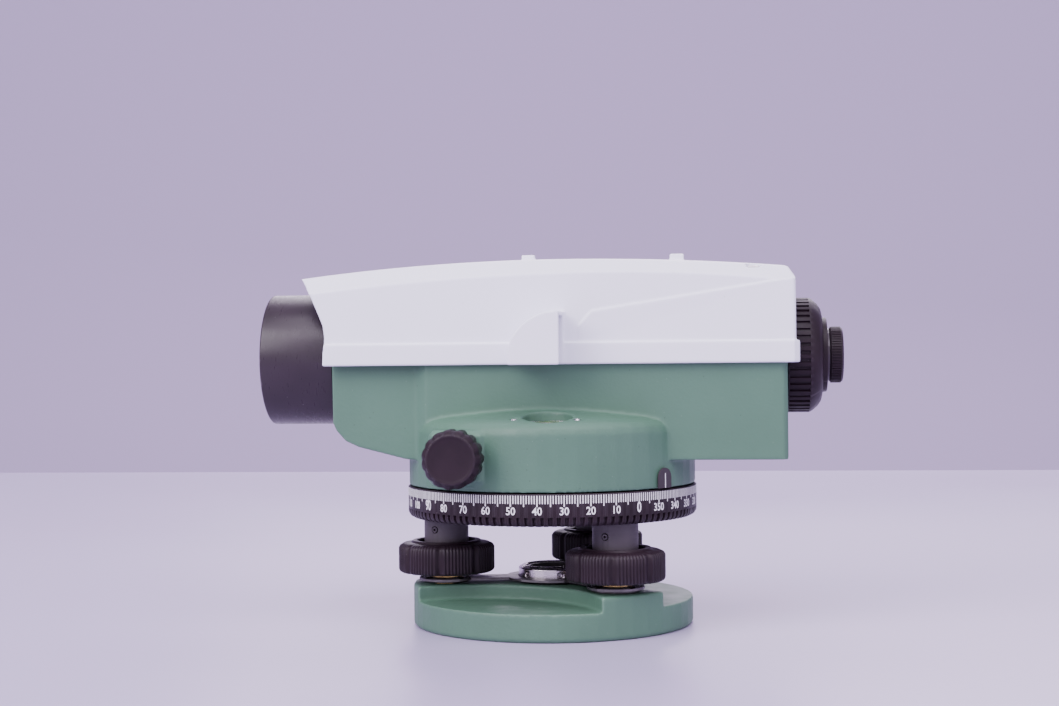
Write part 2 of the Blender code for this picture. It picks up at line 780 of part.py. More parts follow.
def objective():
    """The objective barrel, its lens and the ring that holds the lens in."""
    at = (0, 0, SIGHT_Z)
    turned(
        "objective_barrel",
        [
            (BARREL_R - 0.5, BARREL_FRONT),
            (BARREL_R, BARREL_FRONT - 0.5),
            (BARREL_R, 77.2),
            (21.6, 77.2),
            (21.6, 71.6),
            (19.4, 71.6),
            (19.4, 84.0),
            (22.3, 84.6),
            (22.7, BARREL_FRONT),
        ],
        FINE,
        BLACK_METAL,
        at,
        "-X",
    )
    turned(
        "objective_lens",
        [
            (0, 82.7),
            (8, 82.3),
            (14, 81.5),
            (19.05, 80.3),
            (19.05, 75.4),
            (10, 74.4),
            (0, 74.0),
        ],
        MIDDLE,
        GLASS,
        at,
        "-X",
    )
    turned(
        "objective_ring",
        [(19.05, 83.7), (19.05, 81.2), (17.3, 81.4), (17.3, 83.7)],
        MIDDLE,
        BLACK_METAL,
        at,
        "-X",
    )


def eyepiece():
    """The ribbed collar, the reticle, and the eyepiece tube that the diopter ring drives."""
    at = (0, 0, SIGHT_Z)
    turned(
        "eyepiece_collar",
        [
            (13.4, 100.4),
            (13.4, 98.9),
            (15.6, 98.6),
            (18.2, 97.4),
            (19.6, 95.8),
            (COLLAR_R, 94.8),
            (COLLAR_R, 85.9),
            (EYE_TUBE_R + GAP, 85.9),
            (EYE_TUBE_R + GAP, 100.4),
        ],
        FINE,
        BLACK,
        at,
        "X",
    )
    turned(
        "reticle_holder",
        [(11.0, 64.8), (11.0, 62.2), (7.0, 62.2), (7.0, 64.8)],
        COARSE,
        BLACK_METAL,
        at,
        "X",
    )
    cylinder("reticle_glass", 6.65, 63.0, 64.0, COARSE, GLASS, at, "X")
    turned(
        "eyepiece_tube",
        [
            (7.0, 105.0),
            (7.0, 101.2),
            (EYE_TUBE_R, 101.2),
            (EYE_TUBE_R, 73.0),
            (8.2, 73.0),
            (8.2, 100.2),
            (5.6, 100.2),
            (5.6, 105.0),
        ],
        MIDDLE,
        BLACK_METAL,
        at,
        "X",
    )
    turned(
        "eyepiece_lens",
        [(0, 98.6), (4, 98.3), (7.85, 97.4), (7.85, 95.4), (4, 94.6), (0, 94.4)],
        COARSE,
        GLASS,
        at,
        "X",
    )
    turned(
        "diopter_ring",
        [
            (DIOPTER_R - 0.8, DIOPTER_END),
            (DIOPTER_R, DIOPTER_END - 0.8),
            (DIOPTER_R, 101.5),
            (7.35, 101.5),
            (7.35, 105.35),
            (4.6, 105.35),
            (5.2, DIOPTER_END),
        ],
        MIDDLE,
        BLACK,
        at,
        "X",
    )


def rack_outline(low_x, high_x, pitch):
    """A rack seen from the side, its teeth pointing down at the pinion."""
    tip_z = FOCUS_Z + PINION_R - 0.45
    root_z = FOCUS_Z + PINION_R + 0.85
    top_z = root_z + 2.2
    outline = [(high_x, root_z), (high_x, top_z), (low_x, top_z), (low_x, root_z)]
    first = math.ceil((low_x - FOCUS_X) / pitch + 0.5)
    last = math.floor((high_x - FOCUS_X) / pitch - 0.5)
    for i in range(first, last + 1):
        middle = FOCUS_X + pitch * i
        outline.append((middle - 0.28 * pitch, root_z))
        outline.append((middle - 0.12 * pitch, tip_z))
        outline.append((middle + 0.12 * pitch, tip_z))
        outline.append((middle + 0.28 * pitch, root_z))
    return outline


def focusing():
    """The focus knob, its shaft and pinion, and the carriage that the rack moves in the guide tube."""
    at = (FOCUS_X, 0, FOCUS_Z)
    bore_r = FOCUS_SHAFT_R + GAP
    pitch = 2 * math.pi * PINION_R / PINION_TEETH
    gap_up = 90 + 180 / PINION_TEETH
    pinion = gear_outline(PINION_R + 0.5, PINION_R - 0.7, PINION_TEETH, 0.22, 0.5, gap_up)
    shaft = cylinder("focus_shaft", FOCUS_SHAFT_R, 13.8, 51, COARSE, STEEL, at, "Y")
    join(shaft, side_prism("pinion", pinion, 15.5, 19.5, at=at))
    turned(
        "focus_bush",
        [(6.6, 35.2), (6.6, 33.4), (5.15, 33.4), (5.15, 23.9), (bore_r, 23.9), (bore_r, 35.2)],
        COARSE,
        BRASS,
        at,
        "Y",
    )
    knob = prism(
        "focus_knob",
        lobed_outline(FOCUS_KNOB_R, 12, 0.7, 48),
        36,
        56,
        BLACK,
        at,
        "Y",
    )
    bevel(knob, 1.0)
    cut(knob, cylinder("focus_knob_bore", bore_r, 30, 51.5, COARSE, at=at, along="Y"))

    axis = (0, 0, SIGHT_Z)
    guide = turned(
        "focus_guide_tube",
        [(GUIDE_R, 60), (GUIDE_R, 21), (GUIDE_R - 2, 21), (GUIDE_R - 2, 60)],
        MIDDLE,
        BRASS,
        axis,
        "-X",
    )
    cut(guide, box("guide_slot", (-54, 8, 88.3), (-28, 18, 92.9)))
    carriage = turned(
        "focus_carriage",
        [(12.6, 46), (12.6, 34), (10.2, 34), (10.2, 46)],
        MIDDLE,
        BLACK_METAL,
        axis,
        "-X",
    )
    rack = side_prism("rack", rack_outline(-62, -36, pitch), 15.5, 19.5)
    arm = box("rack_arm", (-45, 9.0, 89.4), (-37, 17.5, 91.4))
    join(carriage, arm)
    boolean(carriage, "UNION", [rack], "MANIFOLD")
    turned(
        "focus_lens",
        [(0, 42.6), (5, 42.0), (9.85, 42.6), (9.85, 38.4), (5, 39.2), (0, 38.9)],
        COARSE,
        GLASS,
        axis,
        "-X",
    )


def compensator():
    """The frame, its two fixed prisms, and the pendulum with the prism that swings."""
    frame = box("compensator_frame", (-14, -17, FLOOR_Z + 0.4), (40, 17, 119), BLACK_METAL)
    cut(
        frame,
        box("frame_inside", (-20, -14, 75.4), (50, 14, 114.5)),
        box("frame_windows", (-6, -20, 82), (32, 20, 108)),
        box("frame_top_window", (0, -9, 113), (26, 9, 121)),
    )
    for name, points in (
        ("front", [(-12, 86), (1.0, 86), (1.0, 96), (-2.5, 108), (-12, 108)]),
        ("rear", [(38, 86), (25.0, 86), (25.0, 96), (28.5, 108), (38, 108)]),
    ):
        side_prism(f"fixed_prism_{name}", points, -13.65, 13.65, GLASS)

    at = (PENDULUM_X, 0, PENDULUM_Z)
    arm = box("pendulum_arm", (-8, -11.4, -29.5), (8, 11.4, -0.5), BLACK_METAL, at)
    wires = []
    for name, y in (("left", -10.3), ("right", 10.3)):
        wires.append(cylinder(f"wire_{name}", 0.45, 111, 114.1, 8, at=(PENDULUM_X, y, 0)))
    join(arm, cylinder("damper_piston", 5, 78.2, 84, COARSE, at=(PENDULUM_X, 0, 0)), *wires)
    cut(
        arm,
        box("arm_inside", (0, -9.3, 86), (30, 9.3, 115)),
        box("arm_front", (0, -15, 90), (9.5, 15, 115)),
        box("arm_rear", (16.5, -15, 90), (26, 15, 115)),
    )
    prism_side = [(5.6, 86.35), (20.4, 86.35), (16.5, 106), (9.5, 106)]
    moved = [(x - PENDULUM_X, z - PENDULUM_Z) for x, z in prism_side]
    side_prism("pendulum_prism", moved, -8.9, 8.9, GLASS, at)


def worm_thread():
    """The worm's thread: a helix of small round section, as a mesh."""
    turns, per_turn, radius = 3, 12, 4.1
    curve = bpy.data.curves.new("worm_thread", "CURVE")
    curve.dimensions = "3D"
    curve.bevel_depth = 0.8 * MM
    curve.bevel_resolution = 0
    curve.use_fill_caps = True
    spline = curve.splines.new("POLY")
    spline.points.add(turns * per_turn)
    for i, point in enumerate(spline.points):
        angle = 2 * math.pi * i / per_turn - turns * math.pi
        # This turns from +Z to +X as it runs along +Y, and crosses the wheel's side, +X, at y = 0.
        x, z = radius * math.cos(angle), -radius * math.sin(angle)
        y = WORM_LEAD * angle / (2 * math.pi)
        point.co = (x * MM, y * MM, z * MM, 1)
    return new_object("worm_thread", mesh_of_curve(curve), None, (WORM_X, 0, WORM_Z))


def tangent_drive():
    """The worm shaft across the drum, a knob on each end, and the wheel on the sleeve."""
    at = (WORM_X, 0, WORM_Z)
    shaft = cylinder("worm_shaft", WORM_SHAFT_R, -54.5, 54.5, COARSE, STEEL, at, "Y")
    join(shaft, cylinder("worm_core", 3.5, -9.6, 9.6, COARSE, at=at, along="Y"), worm_thread())
    bore_r = WORM_SHAFT_R + GAP
    for name, along in (("left", "-Y"), ("right", "Y")):
        turned(
            f"worm_bush_{name}",
            [(5.15, 50.3), (5.15, 39.8), (bore_r, 39.8), (bore_r, 50.3)],
            COARSE,
            BRASS,
            at,
            along,
        )
        knob = prism(
            f"tangent_knob_{name}",
            lobed_outline(TANGENT_KNOB_R, 15, 0.6, 45),
            51.0,
            TANGENT_KNOB_Y,
            BLACK,
            at,
            along,
        )
        bevel(knob, 1.2)
        cut(knob, cylinder(f"tangent_bore_{name}", bore_r, 45, 55, COARSE, at=at, along=along))
    half_pitch = 180 / WORM_TEETH
    wheel = prism(
        "worm_wheel",
        gear_outline(WORM_WHEEL_R, WORM_WHEEL_R - 1.7, WORM_TEETH, 0.24, 0.4, half_pitch),
        WORM_Z - 2,
        WORM_Z + 2,
        BRASS,
    )
    cut(wheel, cylinder("wheel_bore", SLEEVE_R + GAP, WORM_Z - 5, WORM_Z + 5))


def vial():
    """The circular vial in its cup, its adjusting screws, the mirror above it and the index plate."""
    at = (VIAL_X, VIAL_Y, 0)
    turned(
        "vial_cup",
        [(0, 70.2), (7.4, 70.2), (7.4, 75.2), (8.4, 75.2), (8.4, 68.95), (0, 68.95)],
        MIDDLE,
        STEEL,
        at,
    )
    turned(
        "vial_glass",
        [(0, 75.5), (4, 75.3), (7.05, 74.6), (7.05, 70.55), (0, 70.55)],
        MIDDLE,
        GLASS,
        at,
    )
    for name, x in (("1", -8.9), ("2", 12.9)):
        turned(
            f"vial_screw_{name}",
            [(0, 76.4), (1.0, 76.4), (1.2, 76.1), (1.2, 70.4), (0, 70.4)],
            12,
            STEEL,
            (x, -43.5, 0),
        )
    mirror = [(-8.4, 96.6), (-7.7, 95.9), (5.9, 109.5), (5.2, 110.2)]
    side_prism("vial_mirror", mirror, HOOD_OUT_Y + 1.9, -32.6, MIRROR)
    index_azimuth = -37.3
    half_width = 3.35
    outline = [(-half_width, 51.6), *arc((0, 55.3), half_width, 180, 0, 10), (half_width, 51.6)]
    x, y = polar(DRUM_R + GAP, index_azimuth)
    side_prism("index_plate", outline, -0.7, 0, BLACK, (x, y, 0), index_azimuth + 90)


def settle_parts():
    """Applies every part's modifiers, then smooths its round faces and keeps its edges crisp."""
    graph = bpy.context.evaluated_depsgraph_get()
    meshes = {obj: bpy.data.meshes.new_from_object(obj.evaluated_get(graph)) for obj in PARTS.objects}
    for obj, mesh in meshes.items():
        obj.modifiers.clear()
        obj.data = mesh
        mesh.shade_smooth()
        mesh.set_sharp_from_angle(angle=SMOOTH_ANGLE)


def gather(body, nodes, at):
    """Puts an empty on a body's joint and hangs the body's pieces on it."""
    empty = bpy.data.objects.new(body + "_axis", None)
    empty.location = Vector(at) * MM
    empty.empty_display_size = 10 * MM
    PARTS.objects.link(empty)
    for node in nodes:
        piece = bpy.data.objects[node]
        piece.parent = empty
        piece.matrix_parent_inverse = Matrix.Translation(-empty.location)


def gather_moving_bodies():
    """The pieces that move together, each group on its own joint."""
    for name, azimuth in SCREW_AZIMUTHS.items():
        x, y = polar(SCREW_CIRCLE_R, azimuth)
        gather(f"screw_{name}", [f"foot_screw_{name}", f"foot_knob_{name}"], (x, y, BALL_Z))
        if name == "a":
            gather("rocker", ["foot_seat_a"], (x, y, BALL_Z))
    gather("circle", ["horizontal_circle"], (0, 0, 0))
    gather("pendulum", ["pendulum_arm", "pendulum_prism"], (PENDULUM_X, 0, PENDULUM_Z))
    gather("focus_drive", ["focus_shaft", "focus_knob"], (FOCUS_X, 0, FOCUS_Z))
    gather("carriage", ["focus_carriage", "focus_lens"], (0, 0, SIGHT_Z))
    gather(
        "tangent_drive",
        ["worm_shaft", "tangent_knob_left", "tangent_knob_right"],
        (WORM_X, 0, WORM_Z),
    )
    gather("wheel", ["worm_wheel"], (0, 0, 0))
    gather("eyepiece", ["eyepiece_tube", "eyepiece_lens"], (0, 0, SIGHT_Z))
    gather("diopter", ["diopter_ring"], (0, 0, SIGHT_Z))


def main():
    clear_scene()
    foot_plate()
    centre_pieces()
    foot_screws()
    tribrach()
    horizontal_circle()
    spindle()
    main_housing()
    top_cover()
    objective()
    eyepiece()
    focusing()
    compensator()
    tangent_drive()
    vial()
    settle_parts()
    gather_moving_bodies()


main()
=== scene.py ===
"""The looks of the automatic level: its surfaces, marks and materials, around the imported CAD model.

Sizes in this file are in millimetres unless a name says otherwise, and places come from the CAD nodes.
"""

import json
import math

import bmesh
import bpy
from mathutils import Matrix, Vector


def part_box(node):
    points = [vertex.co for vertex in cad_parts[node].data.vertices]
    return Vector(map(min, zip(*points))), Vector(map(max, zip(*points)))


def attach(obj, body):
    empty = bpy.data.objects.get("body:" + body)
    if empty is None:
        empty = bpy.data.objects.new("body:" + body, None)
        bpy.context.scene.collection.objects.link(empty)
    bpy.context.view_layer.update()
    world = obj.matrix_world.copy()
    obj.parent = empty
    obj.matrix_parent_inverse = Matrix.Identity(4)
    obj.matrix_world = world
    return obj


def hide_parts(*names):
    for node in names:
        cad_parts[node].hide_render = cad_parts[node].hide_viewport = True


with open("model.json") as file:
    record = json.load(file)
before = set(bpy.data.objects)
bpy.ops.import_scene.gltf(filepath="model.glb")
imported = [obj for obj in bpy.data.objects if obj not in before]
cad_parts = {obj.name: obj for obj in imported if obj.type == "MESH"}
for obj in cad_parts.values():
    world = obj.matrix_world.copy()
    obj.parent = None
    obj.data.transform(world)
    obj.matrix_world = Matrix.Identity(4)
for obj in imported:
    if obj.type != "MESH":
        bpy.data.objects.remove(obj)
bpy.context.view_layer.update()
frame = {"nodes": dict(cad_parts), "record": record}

MM = 0.001
ROUND_STEPS = 128

# Camera: its place, its angles in degrees, and its focal length
CAMERA_PLACE = (61.0, -643.4, 99.4)
CAMERA_TURN = 6.12
CAMERA_DIP = 0.03
CAMERA_ROLL = -0.57
CAMERA_LENS = 59.46

# Ring nut and tripod bush
NUT_BORE_R = 9.75
TOMMY_HOLES = 6
TOMMY_R = 1.15
TOMMY_INNER_R = 10.6
TOMMY_Z = 18.2
FIRST_TOMMY_AZIMUTH = -72
TRIPOD_CREST_R, TRIPOD_ROOT_R = 7.94, 9.0
TRIPOD_PITCH = 2.31
BUSH_NECK_R = 9.4
BUSH_SHOULDER_Z = 14.9

# Foot screws, their knobs, bushes and seats
KNOB_LOBES = 8
RIBS_ON_A_LOBE = 8
KNOB_RECESS_R = 10.4
KNOB_RECESS_DEPTH = 4.2
KNOB_BORE_R = 4.35
BALL_R = 4.5
SCREW_NECK_R = 3.0
SCREW_CREST_R, SCREW_ROOT_R = 4.0, 3.66
SCREW_PITCH = 0.75
SCREW_THREAD_Z = 26.0
SCREW_FLANGE_R = 6.2
SCREW_FLANGE_LOW, SCREW_FLANGE_TOP = 18.6, 18.95
FOOT_BUSH_BORE_R = 6.2
PIN_HOLE_R = 1.35
SEAT_BORE_R = 5.0
SEAT_GAP = 0.12
ROLLING_SEAT_GAP = 0.5  # seat a rolls with its screw, so it keeps more room above the casting
SEAT_TOP_DROP = 0.8
KEY_SLOT_AZIMUTHS = (227, 317, 47, 137)
BRASS_RING_R = 6.0

# Circle
CIRCLE_BORE_R = 49.9
WEB_BORE_R = 12.35
WEB_LOW_Z, WEB_TOP_Z = 47.4, 50.0
ZERO_AZIMUTH = -50.3
DEGREE_TICK, LONG_TICK = 2.8, 3.8
TICK_WIDTH = 0.38
NUMERAL_HEIGHT = 2.75
TALL_NUMERAL = 1.35
NUMERAL_BASE_DROP = 7.1  # from the ring's top edge down to the foot of the numerals
NOTCHES = 120
NOTCH_DEPTH = 0.95
NOTCH_TOP = 3.1

# Cover
COVER_HALF_Y = 30.6
PANEL_ROOT_Y = 29.6  # the proud panel starts here, inside the wall
SKIRT_HEIGHT = 7.7
SKIRT_STEP_X = 1.35  # the skirt's step at the rear
RECESS_R = 2.7
RECESS_Z = 128.3
RECESS_RUN_Y = 28.5  # the recess runs out to here, through the chamfer
ABOVE_COVER_Z = 136
COVER_HEAD_R, COVER_HEAD_TOP = 2.2, 129.25
VIAL_HEAD_R = 1.35

# Optics
COLLAR_BORE_R = 9.95
COLLAR_RIBS = 46
DIOPTER_BORE_R = 7.35
DIOPTER_RIBS = 64
VIAL_BORE_R = 6.6
VIAL_RING_R = 2.5

DIRECTIONS = {
    "Z": Matrix.Identity(4),
    "X": Matrix.Rotation(math.radians(90), 4, "Y"),
    "-X": Matrix.Rotation(math.radians(-90), 4, "Y"),
    "Y": Matrix.Rotation(math.radians(-90), 4, "X"),
    "-Y": Matrix.Rotation(math.radians(90), 4, "X"),
}


# ---------------------------------------------------------------- places in the frame


def corners(node):
    """A CAD node's lowest and highest corners, in millimetres."""
    low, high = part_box(node)
    return low / MM, high / MM


def centre(node):
    low, high = corners(node)
    return (low + high) / 2


def body_of(node):
    for body, nodes in frame["record"]["behaviour"]["bodies"].items():
        if node in nodes:
            return body
    return None


# ---------------------------------------------------------------- materials


class Surface:
    """A Principled material with the texture nodes that give it its detail."""

    def __init__(self, name, colour, roughness, metallic=0.0):
        self.material = bpy.data.materials.new(name)
        self.material.use_nodes = True
        self.nodes = self.material.node_tree.nodes
        self.links = self.material.node_tree.links
        self.shader = self.nodes["Principled BSDF"]
        self.shader.inputs["Roughness"].default_value = roughness
        self.shader.inputs["Metallic"].default_value = metallic
        self.shader.inputs["Base Color"].default_value = (*colour, 1)
        self.place = self.nodes.new("ShaderNodeTexCoord").outputs["Object"]
        self.colour = colour
        self.height = None

    def set(self, socket, value):
        self.shader.inputs[socket].default_value = value
        return self

    def stretched(self, scale):
        mapping = self.nodes.new("ShaderNodeMapping")
        mapping.inputs["Scale"].default_value = scale
        self.links.new(self.place, mapping.inputs["Vector"])
        return mapping.outputs["Vector"]

    def noise(self, scale, detail=3.0, stretch=None):
        node = self.nodes.new("ShaderNodeTexNoise")
        node.inputs["Scale"].default_value = scale
        node.inputs["Detail"].default_value = detail
        self.links.new(self.stretched(stretch) if stretch else self.place, node.inputs["Vector"])
        return node.outputs["Fac"]

    def cells(self, scale, randomness=1.0):
        node = self.nodes.new("ShaderNodeTexVoronoi")
        node.inputs["Scale"].default_value = scale
        node.inputs["Randomness"].default_value = randomness
        self.links.new(self.place, node.inputs["Vector"])
        return node.outputs["Distance"]

    def ranged(self, value, low, high, to_low=0.0, to_high=1.0):
        node = self.nodes.new("ShaderNodeMapRange")
        limits = {"From Min": low, "From Max": high, "To Min": to_low, "To Max": to_high}
        for socket, number in limits.items():
            node.inputs[socket].default_value = number
        self.links.new(value, node.inputs["Value"])
        return node.outputs["Result"]

    def mixed(self, share, first, second):
        """A colour between two, where each is a colour or a socket."""
        node = self.nodes.new("ShaderNodeMix")
        node.data_type = "RGBA"
        self.links.new(share, node.inputs["Factor"])
        for socket, value in ((node.inputs[6], first), (node.inputs[7], second)):
            if isinstance(value, bpy.types.NodeSocket):
                self.links.new(value, socket)
            else:
                socket.default_value = (*value, 1)
        return node.outputs[2]

    def varied(self, scale, amount):
        """The base colour, a little lighter and darker from place to place."""
        darker = tuple(c * (1 - amount) for c in self.colour)
        lighter = tuple(min(1.0, c * (1 + amount)) for c in self.colour)
        self.tint = self.mixed(self.ranged(self.noise(scale), 0.3, 0.7), darker, lighter)
        self.links.new(self.tint, self.shader.inputs["Base Color"])
        return self

    def specks(self, scale, size, colour, share=1.0):
        """Small specks, such as dust, spread over the surface."""
        mask = self.ranged(self.cells(scale), size, size * 0.6, 0.0, share)
        self.tint = self.mixed(mask, self.tint, colour)
        self.links.new(self.tint, self.shader.inputs["Base Color"])
        return self

    def worn_edges(self, colour, share):
        """Edges rubbed towards another colour."""
        pointed = self.nodes.new("ShaderNodeNewGeometry").outputs["Pointiness"]
        self.tint = self.mixed(self.ranged(pointed, 0.52, 0.6, 0.0, share), self.tint, colour)
        self.links.new(self.tint, self.shader.inputs["Base Color"])
        return self

    def roughness(self, scale, low, high, stretch=None):
        value = self.ranged(self.noise(scale, 4.0, stretch), 0.3, 0.7, low, high)
        self.links.new(value, self.shader.inputs["Roughness"])
        return self

    def bump(self, value, depth, strength=1.0):
        """Adds relief: depth is in millimetres."""
        node = self.nodes.new("ShaderNodeBump")
        node.inputs["Distance"].default_value = depth * MM
        node.inputs["Strength"].default_value = strength
        self.links.new(value, node.inputs["Height"])
        if self.height:
            self.links.new(self.height, node.inputs["Normal"])
        self.height = node.outputs["Normal"]
        self.links.new(self.height, self.shader.inputs["Normal"])
        return self


def green_paint():
    """Orange-peel paint on a casting."""
    made = Surface("green_paint", (0.074, 0.152, 0.106), 0.46)
    made.set("Specular IOR Level", 0.34)
    made.varied(35, 0.06)
    made.specks(210, 0.05, (0.03, 0.045, 0.035), 0.6).specks(330, 0.04, (0.32, 0.38, 0.34), 0.5)
    made.worn_edges((0.2, 0.31, 0.25), 0.45)
    made.roughness(120, 0.4, 0.54)
    return made.bump(made.noise(1000, 2), 0.09, 0.8).bump(made.cells(620), 0.06, 0.5)


def white_plastic():
    """Semi-gloss moulded plastic, a little uneven where it shrank."""
    made = Surface("white_plastic", (0.85, 0.84, 0.97), 0.33)
    made.varied(18, 0.012).specks(120, 0.045, (0.5, 0.48, 0.5), 0.25).roughness(60, 0.28, 0.4)
    return made.bump(made.noise(45, 1), 0.1, 0.25).bump(made.noise(2400, 2), 0.01, 0.35)


def black_plastic():
    """Satin black plastic that shows dust and rubbed ribs."""
    made = Surface("black_plastic", (0.015, 0.0075, 0.0125), 0.42)
    made.set("Specular IOR Level", 0.17)
    made.varied(90, 0.2).specks(300, 0.05, (0.2, 0.15, 0.18), 0.4).worn_edges((0.075, 0.06, 0.075), 0.5)
    made.roughness(200, 0.34, 0.52)
    return made.bump(made.noise(2600, 2), 0.02, 0.35)


def black_metal():
    """Black anodised aluminium with faint turning lines."""
    made = Surface("black_metal", (0.022, 0.0125, 0.021), 0.3, 0.1)
    made.set("Specular IOR Level", 0.4)
    made.varied(60, 0.15).specks(190, 0.04, (0.3, 0.25, 0.3), 0.35).worn_edges((0.14, 0.11, 0.14), 0.35)
    made.roughness(300, 0.26, 0.4, (8, 1, 1))
    return made.bump(made.noise(1800, 2), 0.012, 0.3)


def dark_bush():
    """The matt grey anodising of the foot screw bushes."""
    made = Surface("dark_bush", (0.024, 0.016, 0.023), 0.5, 0.1)
    made.varied(80, 0.12).worn_edges((0.16, 0.13, 0.16), 0.4).roughness(300, 0.45, 0.6, (1, 1, 9))
    return made.bump(made.noise(2600, 2), 0.015, 0.35)


def metal(name, colour, low, high, wear=(0.8, 0.8, 0.8)):
    """Turned bare metal: fine lines round it, and small changes of polish."""
    made = Surface(name, colour, (low + high) / 2, 1.0)
    made.varied(140, 0.09).worn_edges(wear, 0.2).roughness(260, low, high, (1, 1, 14))
    return made.bump(made.noise(900, 3, (1, 1, 12)), 0.008, 0.45)


def glass(name, colour, roughness=0.03):
    """Coated optical glass, with the faintest haze of dust."""
    made = Surface(name, colour, roughness)
    made.set("Transmission Weight", 1.0).set("IOR", 1.5).set("Coat Weight", 0.3)
    made.varied(50, 0.03)
    return made.roughness(90, roughness * 0.5, roughness * 2.0)


def mirror():
    """Silvered glass with a little haze."""
    made = Surface("mirror", (0.85, 0.86, 0.88), 0.04, 1.0)
    return made.varied(30, 0.02).roughness(120, 0.02, 0.09)


def mark_paint():
    """The white filling of the engraved marks."""
    made = Surface("mark_paint", (0.82, 0.8, 0.83), 0.5)
    return made.varied(700, 0.07).roughness(500, 0.42, 0.6)


def vial_liquid():
    """The pale green spirit in the vial."""
    made = Surface("vial_liquid", (0.42, 0.6, 0.16), 0.12)
    made.set("Transmission Weight", 0.55).set("IOR", 1.36).varied(60, 0.05)
    return made.roughness(80, 0.06, 0.16)


def floor_stone():
    """A pale, slightly glossy table top."""
    made = Surface("floor_stone", (0.47, 0.395, 0.60), 0.3)
    made.varied(3.0, 0.03).roughness(9, 0.24, 0.42)
    return made.bump(made.noise(240, 3), 0.05, 0.12)


def wall_paint():
    made = Surface("wall_paint", (0.56, 0.44, 0.69), 0.85)
    return made.varied(0.9, 0.03)


FINISHES = {
    "green_paint": green_paint().material,
    "white_plastic": white_plastic().material,
    "black_plastic": black_plastic().material,
    "black_metal": black_metal().material,
    "steel": metal("steel", (0.55, 0.50, 0.53), 0.16, 0.32).material,
    "dark_steel": metal("dark_steel", (0.12, 0.105, 0.115), 0.38, 0.56, (0.4, 0.38, 0.4)).material,
    "brass": metal("brass", (0.78, 0.55, 0.22), 0.18, 0.34, (0.9, 0.75, 0.45)).material,
    "glass": glass("glass", (0.9, 0.95, 0.95)).material,
    "mirror": mirror().material,
}
DARK_BUSH = dark_bush().material
MARKS = mark_paint().material
LIQUID = vial_liquid().material
LENS_GLASS = glass("lens_glass", (0.86, 0.9, 0.99)).material


# ---------------------------------------------------------------- shapes


def add(name, mesh, slot, node, material=None, smooth=35, stands_for=True):
    """Adds a mesh as a piece that rides with a CAD node, in a slot's finish, and stands for the node."""
    mesh.materials.clear()
    mesh.materials.append(material or FINISHES[slot])
    mesh.shade_smooth()
    mesh.set_sharp_from_angle(angle=math.radians(smooth))
    piece = bpy.data.objects.new(name, mesh)
    bpy.context.scene.collection.objects.link(piece)
    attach(piece, body_of(node))
    if stands_for:
        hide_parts(node)
    return piece


def rounded(profile, radius, cuts=3):
    """A closed profile with its corners rounded. A corner with little room takes a smaller round."""
    out = []
    count = len(profile)
    for i, point in enumerate(profile):
        here = Vector(point)
        to_last = Vector(profile[i - 1]) - here
        to_next = Vector(profile[(i + 1) % count]) - here
        on_axis = here.x < 1e-6
        if on_axis or to_last.length < 1e-6 or to_next.length < 1e-6:
            out.append(tuple(here))
            continue
        reach = min(radius, 0.45 * to_last.length, 0.45 * to_next.length)
        start = here + to_last.normalized() * reach
        end = here + to_next.normalized() * reach
        for k in range(cuts + 1):
            t = k / cuts
            out.append(tuple((1 - t) ** 2 * start + 2 * t * (1 - t) * here + t * t * end))
    return out


def lathe_mesh(name, profile, steps=ROUND_STEPS, ripple=None):
    """A turned mesh from a closed profile of (radius, height).

    ripple(angle, radius, height), where there is one, gives the radius at that angle.
    """
    shape = bmesh.new()
    rings = []
    for radius, height in profile:
        if radius < 1e-6:
            rings.append([shape.verts.new((0, 0, height * MM))])
            continue
        ring = []
        for i in range(steps):
            angle = 2 * math.pi * i / steps
            r = ripple(angle, radius, height) if ripple else radius
            ring.append(shape.verts.new((r * math.cos(angle) * MM, r * math.sin(angle) * MM, height * MM)))
        rings.append(ring)
    solid = len(rings[0]) == 1 and len(rings[-1]) == 1
    pairs = list(zip(rings, rings[1:]))
    if not solid:
        pairs.append((rings[-1], rings[0]))
    for first, second in pairs:
        for i in range(steps):
            j = (i + 1) % steps
            corners_here = []
            for ring, k in ((first, i), (first, j), (second, j), (second, i)):
                vert = ring[k] if len(ring) > 1 else ring[0]
                if vert not in corners_here:
                    corners_here.append(vert)
            if len(corners_here) > 2:
                shape.faces.new(corners_here)
    bmesh.ops.recalc_face_normals(shape, faces=shape.faces)
    mesh = bpy.data.meshes.new(name)
    shape.to_mesh(mesh)
    shape.free()
    return mesh


def placed(mesh, at, along="Z", turn=0.0):
    """The same mesh, pointed along an axis, turned about the vertical and moved to its place."""
    spin = Matrix.Rotation(math.radians(turn), 4, "Z")
    mesh.transform(Matrix.Translation(Vector(at) * MM) @ spin @ DIRECTIONS[along])
    return mesh


def block(name, low, high):
    shape = bmesh.new()
    middle = [(a + b) / 2 * MM for a, b in zip(low, high)]
    size = [(b - a) * MM for a, b in zip(low, high)]
    bmesh.ops.create_cube(shape, size=1, matrix=Matrix.Translation(middle) @ Matrix.Diagonal((*size, 1)))
    mesh = bpy.data.meshes.new(name)
    shape.to_mesh(mesh)
    shape.free()
    return mesh


def combined(mesh, operation, tools):
    """The mesh after Booleans with other meshes, which are used up."""
    target = bpy.data.objects.new("boolean_target", mesh)
    bpy.context.scene.collection.objects.link(target)
    cutters = []
    for tool in tools:
        cutter = bpy.data.objects.new("boolean_tool", tool)
        bpy.context.scene.collection.objects.link(cutter)
        cutters.append(cutter)
        modifier = target.modifiers.new("Boolean", "BOOLEAN")
        modifier.operation = operation
        modifier.object = cutter
        modifier.solver = "EXACT"
    result = evaluated(target)
    for cutter in cutters:
        bpy.data.objects.remove(cutter)
    return result


